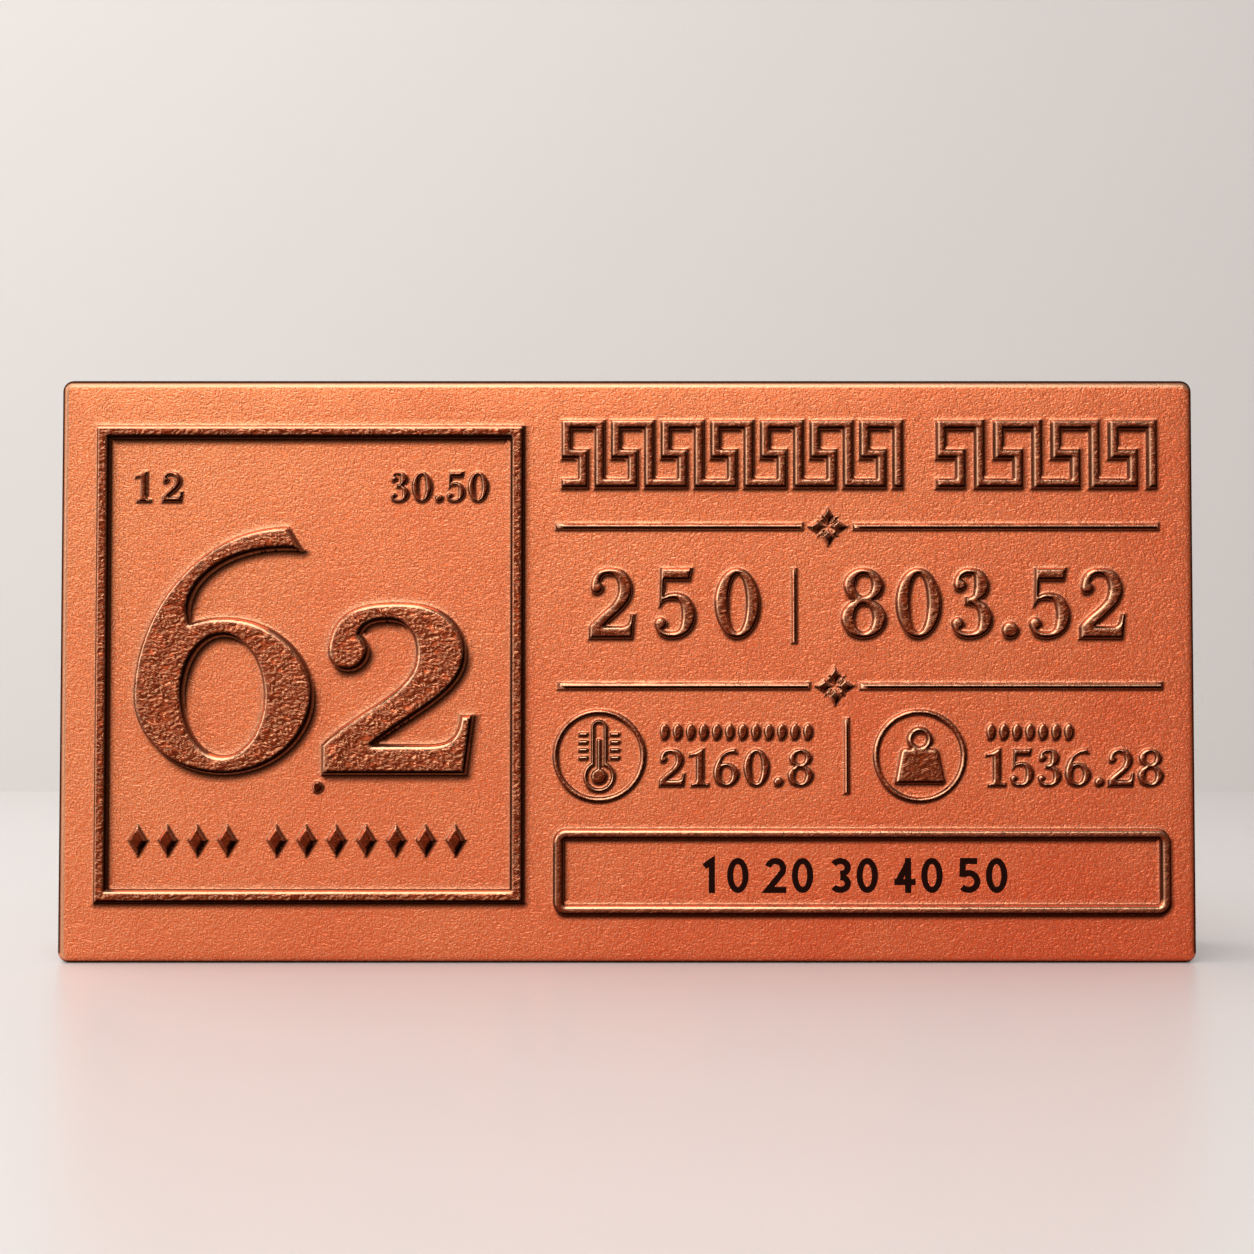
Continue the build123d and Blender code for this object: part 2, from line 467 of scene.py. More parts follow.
    def five(self) -> tuple[Blank, float]:
        """Draws 5 as a flag, a thin stem and a bowl that ends in a ball."""
        w, t, thick, thin = 0.92 * self.slim * self.tall, self.tall, self.thick, self.thin
        ball, inner = 0.45 * thick, w - thick
        pen = Pen((0.16 * w, t), (0.92 * w, t), (0.86 * w, 0.83 * t), (0.26 * w, 0.83 * t), step=self.step)
        pen.line((0.24 * w, 0.60 * t))
        pen.curve((0.34 * w, 0.64 * t), (0.44 * w, 0.65 * t), (0.52 * w, 0.65 * t))
        pen.curve((0.82 * w, 0.65 * t), (w, 0.53 * t), (w, 0.33 * t))
        pen.curve((w, 0.12 * t), (0.76 * w, 0), (0.44 * w, 0))
        self.hook(pen, w)
        pen.curve((0.62 * w, thin), (inner, 0.14 * t), (inner, 0.33 * t))
        pen.curve((inner, 0.50 * t), (0.62 * w, 0.65 * t - thin), (0.46 * w, 0.65 * t - thin))
        pen.curve((0.34 * w, 0.65 * t - thin), (0.24 * w, 0.56 * t), (0.14 * w, 0.46 * t))
        return Blank([pen.loop(), ellipse(0.02 * w + ball, 0.21 * t, ball, ball)]), w

    def six(self) -> tuple[Blank, float]:
        """Draws 6 as a bowl with a tall curved shoulder."""
        w = self.slim * self.tall
        return six_shape(w, self.tall, 0.63 * self.tall, self.thick, self.thin, self.step), w

    def eight(self) -> tuple[Blank, float]:
        """Draws 8 as a small ring on a larger one."""
        w, t = self.slim * self.tall, self.tall
        low, high = (w / 2, 0.285 * t), (w / 2, 0.755 * t)
        rings = [ellipse(*low, w / 2, 0.285 * t, self.step), ellipse(*high, 0.44 * w, 0.245 * t, self.step)]
        counters = [
            ellipse(*low, w / 2 - self.thick, 0.285 * t - self.thin, self.step),
            ellipse(*high, 0.44 * w - 0.86 * self.thick, 0.245 * t - self.thin, self.step),
        ]
        return Blank(rings, counters), w

    def stop(self) -> tuple[Blank, float]:
        """Draws the point as a round dot on the line."""
        radius = 0.62 * self.thick
        return Blank([ellipse(radius, radius, radius, radius)]), 2 * radius


def six_shape(width: float, tall: float, bowl: float, thick: float, thin: float, step: float) -> Blank:
    """Draws a 6 with its foot on the x axis and its left side on the z axis.

    Args:
        width: Overall width.
        tall: Overall height.
        bowl: Height of the bowl.
        thick: Width of the bowl's sides.
        thin: Width of the bowl's top and foot.
        step: How far apart the points of a curve are.

    Returns:
        The outline with its counter cut out.
    """
    # Angle on the bowl at which the shoulder's inner side joins it
    joint = 112.0
    x = width / 2 * (1 + math.cos(math.radians(joint)))
    z = bowl / 2 * (1 + math.sin(math.radians(joint)))
    neck = tall - z
    pen = Pen((0.86 * width, tall), step=step)
    pen.curve((0.36 * width, tall), (0, (tall + bowl / 2) / 2), (0, bowl / 2))
    pen.arc((width / 2, bowl / 2), (width / 2, bowl / 2), 180, 180 + joint)
    tip = (0.94 * width, tall - 1.3 * thin)
    pen.curve((x - 0.06 * width, z + 0.45 * neck), (0.56 * width, z + 0.84 * neck), tip)
    counter = ellipse(width / 2, bowl / 2, width / 2 - thick, bowl / 2 - thin, step)
    return Blank([pen.loop()], [counter])


def two_shape(width: float, tall: float, thick: float, thin: float, ball: float, step: float) -> list[Loop]:
    """Draws a 2 with its foot on the x axis and its left side on the z axis.

    Args:
        width: Overall width.
        tall: Overall height.
        thick: Width of the hook at its bend.
        thin: Width of the hook at its top.
        ball: Diameter of the ball.
        step: How far apart the points of a curve are.

    Returns:
        The hook, the ball and the foot.
    """
    w, t = width, tall
    right, bend, foot = 0.95 * w, 0.70 * t, 0.17 * t
    inner = right - thick
    hook = Pen((0.04 * w, 0.72 * t), step=step)
    hook.curve((0.06 * w, t), (0.34 * w, t), (0.52 * w, t))
    hook.curve((0.80 * w, t), (right, 0.88 * t), (right, bend))
    hook.curve((right, 0.47 * t), (0.60 * w, 0.36 * t), (0.34 * w, foot))
    hook.line((0, foot))
    hook.curve((0.26 * w, 0.40 * t), (inner, 0.47 * t), (inner, bend))
    hook.curve((inner, 0.86 * t), (0.52 * w, t - thin), (0.44 * w, t - thin))
    hook.curve((0.30 * w, t - thin), (0.24 * w, 0.86 * t), (0.24 * w, 0.72 * t))
    base = Pen((0, foot), (0, 0), (0.95 * w, 0), (w, 0.34 * t), (0.92 * w, 0.34 * t), step=step)
    base.curve((0.90 * w, foot), (0.80 * w, foot), (0.66 * w, foot))
    return [hook.loop(), ellipse(0.04 * w + ball / 2, 0.72 * t, ball / 2, ball / 2, step), base.loop()]


# Large numerals, with deeply beaten tops
BEATEN = Strike(1.2, 0.10, 0.38, 0.32, foot=1.0, beaten=0.13, gleam=1.1)
# Square frame, and the low frame of the cartouche
FRAME = Strike(0.9, 0.08, 0.32, 0.27, foot=0.8, beaten=0.09, step=0.42, film=0.2, seam=1.0)
FRAME_LOW = Strike(0.8, 0.08, 0.27, 0.23, foot=0.6, step=0.42, gleam=1.1, film=0.85, seam=0.9)
# Key pattern, and the figures in three sizes
KEY = Strike(0.8, 0.07, 0.26, 0.22, foot=0.5, beaten=0.03, step=0.42, gleam=1.1, film=0.65)
FIGURE = Strike(0.62, 0.08, 0.24, 0.20, 0.5, 0.06, beaten=0.02, step=0.26, gleam=1.15, film=0.65)
SMALL = Strike(0.42, 0.06, 0.17, 0.14, 0.32, 0.05, step=0.2, gleam=1.05, film=0.9)
# Rules, dividers, rings, lozenges and rosettes
RIDGE = Strike(0.36, 0.12, 0.22, 0.19, 0.36, 0.05, step=0.8, gleam=1.3, film=1.5, seam=0.0)
STEM = Strike(0.36, 0.09, 0.12, 0.11, 0.36, 0.05, step=0.8, gleam=1.0, film=1.6, seam=0.0)
RING = Strike(0.48, 0.04, 0.19, 0.18, 0.35, 0.05, step=0.35, gleam=1.2, film=0.5)
PETAL = Strike(0.55, 0.06, 0.42, 0.38, 0.4, 0.05, step=0.25, gleam=0.5, film=1.0)
BLADE = Strike(0.36, 0.12, 0.14, 0.13, 0.32, 0.05, step=0.25, gleam=1.1, film=1.7, seam=0.3)


@dataclass
class Tile:
    """Square frame on the left with its two large numerals, small figures and row of lozenges."""

    left: float
    foot: float
    width: float = 42.8
    height: float = 47.7
    bar: float = 1.25
    numeral_in: float = 3.9
    numeral_up: float = 12.8
    numeral_gap: float = 0.9
    tall: Point = (17.9, 24.7)
    bowl: float = 15.6
    short: Point = (15.1, 17.1)
    thick: float = 4.9
    thin: float = 1.8
    ball: float = 4.0
    boss: Point = (0.5, 0.58)
    boss_drop: float = 1.3
    small: Roman = Roman(3.05, 0.62, 0.30, step=0.18)
    figures_base: float = 46.15
    left_figures: Point = (-49.4, 4.7)
    right_figures: Point = (-23.8, 9.85)
    lozenge: Point = (0.95, 1.55)
    lozenges: tuple[int, ...] = (4, 7)
    row_start: Point = (-48.9, 12.3)
    row_pitch: float = 2.98
    group_gap: float = 1.95

    def forms(self) -> list[Form]:
        """Returns every raised form of the tile."""
        return [self.border(), *self.numerals(), *self.figures(), *self.row()]

    def border(self) -> Form:
        """Makes the square frame."""
        left, low, right, high = self.left, self.foot, self.left + self.width, self.foot + self.height
        outer = rectangle(left, low, right, high)
        inner = rectangle(left + self.bar, low + self.bar, right - self.bar, high - self.bar)
        return Form("tile frame", Blank([outer], [inner]), FRAME)

    def numerals(self) -> list[Form]:
        """Makes the tall 6, the short 2 and the small boss under them."""
        left, base = self.left + self.numeral_in, self.foot + self.numeral_up
        six = six_shape(*self.tall, self.bowl, self.thick, self.thin, BEATEN.step)
        two = Blank(two_shape(*self.short, self.thick, self.thin, self.ball, BEATEN.step))
        beside = left + self.tall[0] + self.numeral_gap
        boss = ellipse(left + self.tall[0] + self.numeral_gap / 2, base - self.boss_drop, *self.boss, 0.15)
        return [
            Form("tall numeral", six.placed(left, base), BEATEN),
            Form("short numeral", two.placed(beside, base), BEATEN),
            Form("boss", Blank([boss]), STEM),
        ]

    def figures(self) -> list[Form]:
        """Makes the small figures at the two upper corners."""
        (left, left_width), (right, right_width) = self.left_figures, self.right_figures
        return [
            Form("left small figures", self.small.write("12", left, self.figures_base, left_width), SMALL),
            Form(
                "right small figures",
                self.small.write("30.50", right, self.figures_base, right_width),
                SMALL,
            ),
        ]

    def row(self) -> list[Form]:
        """Makes the row of lozenges at the foot, in groups."""
        made, (x, z), (across, up) = [], self.row_start, self.lozenge
        for count in self.lozenges:
            for _ in range(count):
                lozenge = Pen((x - across, z), (x, z - up), (x + across, z), (x, z + up)).loop()
                made.append(Form("lozenge", Blank([lozenge]), PETAL))
                x += self.row_pitch
            x += self.group_gap
        return made


@dataclass
class Header:
    """Running key pattern at the head of the column, in groups of turns."""

    left: float
    foot: float
    height: float = 6.85
    stroke: float = 0.95
    gap: float = 3.4
    groups: tuple[tuple[float, int], ...] = ((34.2, 7), (22.1, 4))

    def forms(self) -> list[Form]:
        """Returns each group as one form."""
        made, left = [], self.left
        for width, turns in self.groups:
            made.append(Form("key pattern", self.group(width, turns).placed(left, self.foot), KEY))
            left += width + self.gap
        return made

    def group(self, width: float, turns: int) -> Blank:
        """Draws a group of turns that run to the left.

        Args:
            width: Length of the group.
            turns: How many turns it has.

        Returns:
            The band, its foot on the x axis and its left end on the z axis.
        """
        column = (width - self.stroke) / (3 * turns - 1)
        row = (self.height - self.stroke) / 2
        turn = [(0, 0), (0, 2), (2, 2), (2, 1), (1, 1), (1, 0)]
        steps = [(across + 3 * index, up) for index in range(turns) for across, up in turn]
        steps.append((3 * turns - 1, 0))
        half = self.stroke / 2
        route = [(width - half - across * column, half + up * row) for across, up in steps]
        route[0] = (route[0][0], 0)
        route[-1] = (0, half)
        return Blank([band(route, self.stroke)])


@dataclass
class Rule:
    """Level rule with a rosette in the middle, whose blades are given as root, tip and width."""

    start: float
    end: float
    rosette: float
    level: float
    width: float = 0.68
    clearance: float = 0.6
    petal: tuple[float, float, float] = (0.3, 1.95, 1.25)
    leaf: tuple[float, float, float] = (0.5, 1.35, 0.5)
    waist: float = 0.42

    def forms(self) -> list[Form]:
        """Returns the two bars and the rosette."""
        low, high = self.level - self.width / 2, self.level + self.width / 2
        gap = self.petal[1] + self.clearance
        return [
            Form("rule", Blank([rectangle(self.start, low, self.rosette - gap, high)]), RIDGE),
            Form("rule", Blank([rectangle(self.rosette + gap, low, self.end, high)]), RIDGE),
            Form("rosette", self.flower(), BLADE),
        ]

    def flower(self) -> Blank:
        """Draws four petals along the axes and four leaves between them."""
        blades = []
        for index in range(8):
            root, tip, width = self.petal if index % 2 == 0 else self.leaf
            angle = math.radians(45 * index)
            along = np.array([math.cos(angle), math.sin(angle)])
            side = np.array([-along[1], along[0]]) * width / 2
            start = np.array([self.rosette, self.level]) + along * root
            waist, end = start + along * self.waist * (tip - root), start + along * (tip - root)
            blades.append(Pen(*map(tuple, (start, waist - side, end, waist + side))).loop())
        return Blank(blades)


@dataclass(frozen=True)
class Divider:
    """Upright bar between two groups of figures."""

    x: float
    z: float
    width: float = 0.44
    height: float = 7.5

    def form(self) -> Form:
        """Returns the bar."""
        across, up = self.width / 2, self.height / 2
        bar = rectangle(self.x - across, self.z - up, self.x + across, self.z + up)
        return Form("divider", Blank([bar]), STEM)


@dataclass
class Figures:
    """Two large figures between the rules and the divider between them."""

    base: float = 32.45
    left: Point = (-3.8, 17.1)
    right: Point = (21.45, 28.4)
    divider: Divider = Divider(16.75, 35.75)
    roman: Roman = Roman(7.05, 1.34, 0.66, slim=0.64, step=0.24)

    def forms(self) -> list[Form]:
        """Returns the figures and the divider."""
        return [
            Form("left figures", self.roman.write("250", self.left[0], self.base, self.left[1]), FIGURE),
            Form(
                "right figures",
                self.roman.write("803.52", self.right[0], self.base, self.right[1]),
                FIGURE,
            ),
            self.divider.form(),
        ]


@dataclass
class Thermometer:
    """Pictogram of a thermometer: a tube and bulb with a column inside, and marks at both sides."""

    x: float
    z: float
    bulb_drop: float = 2.06
    rise: float = 3.6
    outer: Point = (0.8, 1.59)
    bore: Point = (0.47, 1.2)
    column: Point = (0.2, 0.78)
    wall: float = 0.33
    column_rise: float = 1.7
    marks: int = 4
    mark_rise: float = 2.15
    mark_pitch: float = 0.78
    mark_reach: Point = (1.12, 2.05)
    mark_half: float = 0.18
    mark_radius: float = 0.16

    def glass(self, radii: Point, top: float) -> list[Loop]:
        """Returns a tube that ends at the top and a bulb under it, of the radii given."""
        (tube, bulb), low = radii, self.z - self.bulb_drop
        stem = rectangle(self.x - tube, low, self.x + tube, top, tube)
        return [stem, ellipse(self.x, low, bulb, bulb, 0.2)]

    def forms(self) -> list[Form]:
        """Returns the glass, the column and the marks."""
        top = self.z + self.rise
        made = [
            Form(
                "thermometer",
                Blank(self.glass(self.outer, top), self.glass(self.bore, top - self.wall)),
                SMALL,
            ),
            Form("thermometer column", Blank(self.glass(self.column, self.z + self.column_rise)), SMALL),
        ]
        for index in range(self.marks):
            z = self.z + self.mark_rise - self.mark_pitch * index
            for side in (-1, 1):
                near, far = sorted(self.x + side * reach for reach in self.mark_reach)
                mark = rectangle(near, z - self.mark_half, far, z + self.mark_half, self.mark_radius)
                made.append(Form("mark", Blank([mark]), SMALL))
        return made


@dataclass
class ScaleWeight:
    """Pictogram of a scale's weight: a tapered body with a ring on it."""

    x: float
    z: float
    drop: float = 2.75
    rise: float = 0.75
    ring_rise: float = 1.65
    radii: Point = (1.25, 0.7)

    def form(self) -> Form:
        """Returns the weight."""
        x, low, high, ring = self.x, self.z - self.drop, self.z + self.rise, self.z + self.ring_rise
        body = Pen((x - 2.2, low), (x + 2.2, low), step=0.2)
        body.curve((x + 2.45, low), (x + 2.5, low + 0.2), (x + 2.4, low + 0.5))
        body.line((x + 1.9, high - 0.4))
        body.curve((x + 1.8, high - 0.1), (x + 1.65, high), (x + 1.4, high))
        body.line((x - 1.4, high))
        body.curve((x - 1.65, high), (x - 1.8, high - 0.1), (x - 1.9, high - 0.4))
        body.line((x - 2.4, low + 0.5))
        body.curve((x - 2.5, low + 0.2), (x - 2.45, low), (x - 2.2, low))
        outer, inner = (ellipse(x, ring, radius, radius, 0.2) for radius in self.radii)
        return Form("weight", Blank([body.loop(), outer], [inner]), FIGURE)


@dataclass
class Properties:
    """Two rings with pictograms, each with figures and a row of beads over them."""

    level: float = 20.7
    ring: Point = (9.3, 0.5)
    rings: Point = (-2.8, 29.25)
    divider: float = 21.95
    figures_base: float = 17.65
    left_figures: Point = (3.2, 15.4)
    right_figures: Point = (35.9, 17.7)
    beads_level: float = 23.1
    bead: Point = (0.46, 0.82)
    beads: tuple[tuple[float, float, int], ...] = ((3.75, 18.1, 12), (36.4, 44.2, 7))
    roman: Roman = Roman(3.75, 0.74, 0.36, slim=0.68, step=0.2)

    def forms(self) -> list[Form]:
        """Returns every raised form of the band."""
        left, right = self.rings
        made = [self.ring_at(x) for x in self.rings]
        made.append(Divider(self.divider, self.level).form())
        made += Thermometer(left, self.level).forms()
        made.append(ScaleWeight(right, self.level).form())
        for name, text, (start, width) in (
            ("left property", "2160.8", self.left_figures),
            ("right property", "1536.28", self.right_figures),
        ):
            made.append(Form(name, self.roman.write(text, start, self.figures_base, width), SMALL))
        for start, end, count in self.beads:
            for x in np.linspace(start, end, count):
                made.append(Form("bead", Blank([ellipse(x, self.beads_level, *self.bead, 0.18)]), SMALL))
        return made

    def ring_at(self, x: float) -> Form:
        """Makes the ring round a pictogram."""
        outer, inner = self.ring[0] / 2, self.ring[0] / 2 - self.ring[1]
        circles = [ellipse(x, self.level, radius, radius) for radius in (outer, inner)]
        return Form("ring", Blank(circles[:1], circles[1:]), RING)


@dataclass
class Cartouche:
    """Rounded frame at the foot of the column."""

    left: float
    right: float
    foot: float = 4.85
    height: float = 8.55
    bar: float = 1.0
    radius: float = 1.3

    def forms(self) -> list[Form]:
        """Returns the frame."""
        outer, inner = (
            rectangle(
                self.left + inset,
                self.foot + inset,
                self.right - inset,
                self.foot + self.height - inset,
                self.radius - inset,
            )
            for inset in (0.0, self.bar)
        )
        return [Form("cartouche", Blank([outer], [inner]), FRAME_LOW)]


@dataclass
class StruckFace:
    """The struck face of the ingot: a field with every form of the design raised on it."""

    forms: list[Form]
    border: Loop
    beaten_step: float = 0.36
    field_step: float = 2.2
    row_slack: float = 0.012
    edge_slack: float = 0.04
    field_clear: float = 1.0
    border_clear: float = 0.6
    seed: int = 7

    def survey(self, points: np.ndarray) -> dict[str, np.ndarray]:
        """Works out the face at some points.

        Args:
            points: Places on the face, one row each.

        Returns:
            For each point: rise, the height in mm; own, the number of the nearest form; gap, its
            distance from that form; away, the direction away from it; beaten, how deep its top is beaten.
        """
        count = len(points)
        found = {
            "rise": np.zeros(count),
            "own": np.full(count, -1),
            "gap": np.full(count, 1e3),
            "away": np.zeros((count, 2)),
            "beaten": np.zeros(count),
        }
        for number, form in enumerate(self.forms):
            near = np.flatnonzero(form.near(points))
            if not len(near):
                continue
            gap, away = distance_to(points[near], form.loops)
            closer = gap < found["gap"][near]
            picked = near[closer]
            found["own"][picked] = number
            found["gap"][picked] = gap[closer]
            found["away"][picked] = away[closer]
            inner = form.strike.side + 0.5 * form.strike.crown
            found["beaten"][picked] = form.strike.beaten * np.clip((-gap[closer] - inner) / 0.3, 0, 1)
            found["rise"][near] = np.maximum(found["rise"][near], form.strike.rise(gap))
        return found

    def rows(self) -> tuple[np.ndarray, list[tuple[int, int]]]:
        """Places the rows of points along every outline.

        Returns:
            The points, and the pairs of neighbours that the mesh has to keep as edges.
        """
        points, owners, gaps, strands = [], [], [], []
        for number, form in enumerate(self.forms):
            for loop in form.loops:
                for distance in form.strike.rows():
                    row = form.row(loop, distance)
                    strands.append((sum(map(len, points)), len(row)))
                    points.append(row)
                    owners.append(np.full(len(row), number))
                    gaps.append(np.full(len(row), distance))
        places, owner, gap = np.vstack(points), np.concatenate(owners), np.concatenate(gaps)
        found = self.survey(places)
        kept = (np.abs(found["gap"] - gap) < self.row_slack) & ((found["own"] == owner) | (gap <= 0))
        index = np.cumsum(kept) - 1
        edges = []
        for start, length in strands:
            ring = np.arange(start, start + length)
            both = kept[ring] & kept[np.roll(ring, -1)]
            edges.append(np.column_stack([ring[both], np.roll(ring, -1)[both]]))
        pairs = np.vstack(edges)
        middles = self.survey((places[pairs[:, 0]] + places[pairs[:, 1]]) / 2)
        sound = np.abs(middles["gap"] - gap[pairs[:, 0]]) < self.edge_slack
        return places[kept], [tuple(pair) for pair in index[pairs[sound]].tolist()]

    def scatter(self) -> np.ndarray:
        """Places points on the beaten tops and sparsely on the field."""
        draws = np.random.default_rng(self.seed)
        low, high = self.border.min(0), self.border.max(0)
        sets = []
        for step, wanted in ((self.beaten_step, "beaten"), (self.field_step, "field")):
            x, z = np.meshgrid(*(np.arange(a + step / 2, b, step) for a, b in zip(low, high)))
            x[::2] += step / 2
            places = np.column_stack([x.ravel(), z.ravel()]) + draws.uniform(-0.2, 0.2, (x.size, 2)) * step
            found = self.survey(places)
            if wanted == "beaten":
                reach = np.array([f.strike.side + f.strike.crown for f in self.forms] + [0.0])[found["own"]]
                places = places[(found["beaten"] > 0) & (-found["gap"] > reach + 0.12)]
            else:
                clear = self.border_clear
                inside = (places > low + clear).all(1) & (places < high - clear).all(1)
                places = places[(found["gap"] > self.field_clear) & inside]
            sets.append(places)
        return np.vstack(sets)

    def mesh(self) -> tuple[np.ndarray, list[list[int]], dict[str, np.ndarray]]:
        """Covers the face with triangles.

        Returns:
            Points on the face with the border's first, triangles, and the survey of the points.
        """
        rows, edges = self.rows()
        border = len(self.border)
        places = np.vstack([self.border, rows, self.scatter()])
        edges = [(a + border, b + border) for a, b in edges]
        edges += [(k, (k + 1) % border) for k in range(border)]
        coords = [Vector(p) for p in places]
        found, _, triangles, origins, _, _ = delaunay_2d_cdt(coords, edges, [], 0, 1e-5, True)
        old = np.array([origin[0] if origin else len(places) for origin in origins])
        order = np.argsort(old, kind="stable")
        rank = np.empty(len(order), int)
        rank[order] = np.arange(len(order))
        points = np.array([p[:] for p in found])[order]
        faces = rank[np.array(triangles)]
        sides = points[faces]
        first, second = sides[:, 1] - sides[:, 0], sides[:, 2] - sides[:, 0]
        area = first[:, 0] * second[:, 1] - first[:, 1] * second[:, 0]
        return points, faces[area > 1e-7].tolist(), self.survey(points)

    def beat(self, points: np.ndarray, found: dict[str, np.ndarray]) -> np.ndarray:
        """Beats the tops: level, wiggly creases a millimetre or so long.

        Args:
            points: Places on the face.
            found: Their survey.

        Returns:
            Heights in mm.
        """
        rise = found["rise"].copy()
        for index in np.flatnonzero(found["beaten"] > 0):
            x, z = points[index]
            bend = noise.noise(Vector((x * 0.5, z * 0.5, 3.0))) * 1.2
            crease = noise.noise(Vector((x * 0.75, (z + bend) * 1.7, 8.0)))
            dent = noise.noise(Vector((x * 1.9, (z + bend) * 2.9, 21.0)))
            rise[index] -= found["beaten"][index] * max(0.0, 0.5 + 0.55 * crease + 0.45 * dent)
        return rise

    def normals(self, points: np.ndarray, found: dict[str, np.ndarray], rough: np.ndarray) -> np.ndarray:
        """Works out which way the metal faces, so that long bevels gleam evenly.

        Args:
            points: Places on the face.
            found: Their survey.
            rough: Normals of the mesh at the same points.

        Returns:
            Exact normals, or the mesh's own at corners, where the two differ much.
        """
        nudge = 0.015
        lean = [
            (self.beat(points + shift, found) - self.beat(points - shift, found)) / (2 * nudge)
            for shift in (np.array([nudge, 0]), np.array([0, nudge]))
        ]
        away = found["away"].copy()
        edge = np.abs(found["gap"]) < 1e-4
        flat = rough[edge][:, [0, 2]]
        away[edge] = flat / np.maximum(np.linalg.norm(flat, axis=1), 1e-6)[:, None]
        total = np.zeros((len(points), 3))
        for side in (-nudge, nudge):
            slope = np.zeros(len(points))
            for number, form in enumerate(self.forms):
                own = found["own"] == number
                gap = found["gap"][own]
                slope[own] = (form.strike.rise(gap + side) - form.strike.rise(gap)) / side
            tilt = slope[:, None] * away + np.column_stack(lean)
            normal = -np.column_stack([tilt[:, 0], np.ones(len(points)), tilt[:, 1]])
            total += normal / np.linalg.norm(normal, axis=1)[:, None]
        total /= np.linalg.norm(total, axis=1)[:, None]
        alike = (total * rough).sum(1) > 0.85
        return np.where(alike[:, None], total, rough)


def linear(code: str) -> tuple[float, float, float, float]:
    """Turns an sRGB hex colour such as "c87a50" into linear red, green, blue and alpha."""
    shares = [int(code[k : k + 2], 16) / 255 for k in (0, 2, 4)]
    turned = [s / 12.92 if s <= 0.04045 else ((s + 0.055) / 1.055) ** 2.4 for s in shares]
    return (*turned, 1.0)


class Board:
    """Node board of one material, with a single way to add a node."""

    def __init__(self, name: str) -> None:
        """Makes an empty material of that name."""
        self.material = bpy.data.materials.new(name)
        self.material.use_nodes = True
        self.tree = self.material.node_tree
        self.tree.nodes.clear()

    def add(
        self,
        kind: str,
        settings: dict | None = None,
        values: dict | None = None,
        links: dict | None = None,
        out: int | str = 0,
    ) -> Socket | None:
        """Adds a node.

        Args:
            kind: Blender's name for the type of node.
            settings: Its properties by name.
            values: Values of its input sockets, by name or number.
            links: Output sockets that go into its input sockets, by name or number.
            out: Name or number of the output that is wanted.

        Returns:
            That output, or None where the node has none.
        """
        node = self.tree.nodes.new(kind)
        for name, value in (settings or {}).items():
            setattr(node, name, value)
        for name, value in (values or {}).items():
            node.inputs[name].default_value = value
        for name, socket in (links or {}).items():
            self.tree.links.new(socket, node.inputs[name])
        return node.outputs[out] if node.outputs else None

    def finish(self, shader: Socket) -> bpy.types.Material:
        """Sends a shader to the output and returns the material."""
        self.add("ShaderNodeOutputMaterial", links={"Surface": shader})
        return self.material


@dataclass(frozen=True)
class Crinkle:
    """Wrinkled pattern in the metal.

    The size of a wrinkle in mm, the width of its crest as a share of the pattern's height, how much
    longer it is along x, y and z, how far it is turned about y in radians, how many finer layers it
    has, its depth in metres and the share that the crests add to it.
    """

    size: float
    width: float
    stretch: tuple[float, float, float]
    turn: float
    detail: float
    depth: float
    ridge: float

    def draw(self, board: Board, place: Socket) -> tuple[Socket, Socket, Socket]:
        """Draws the pattern twice, the second time moved to the upper left by a part of a wrinkle, so that
        the crests can take a painted highlight and shade.

        Args:
            board: The material's board.
            place: Place on the object in mm.

        Returns:
            The pattern's height, its crest lines, and the moved crest lines.
        """
        made = []
        for reach in (0.0, 0.3 * self.size):
            moved = {"Scale": self.stretch, "Rotation": (0, self.turn, 0), "Location": (-reach, 0, reach)}
            pulled = board.add("ShaderNodeMapping", {"vector_type": "TEXTURE"}, moved, {"Vector": place})
            values = {"Scale": 1 / self.size, "Detail": self.detail, "Roughness": 0.55, "Distortion": 1.3}
            height = board.add("ShaderNodeTexNoise", None, values, {"Vector": pulled}, "Fac")
            off = board.add("ShaderNodeMath", {"operation": "SUBTRACT"}, {1: 0.5}, {0: height})
            off = board.add("ShaderNodeMath", {"operation": "ABSOLUTE"}, None, {0: off})
            crest = {"From Min": self.width, "From Max": 0.0}
            made.append((height, board.add("ShaderNodeMapRange", None, crest, {"Value": off})))
        return (*made[0], made[1][1])

    def bump(self, board: Board, drawn: tuple[Socket, ...], strength: Socket) -> Socket:
        """Returns the normal that the drawn pattern gives, at a strength."""
        links = {0: drawn[1], 2: drawn[0]}
        both = board.add("ShaderNodeMath", {"operation": "MULTIPLY_ADD"}, {1: self.ridge}, links)
        links = {"Height": both, "Strength": strength}
        return board.add("ShaderNodeBump", None, {"Distance": self.depth}, links)


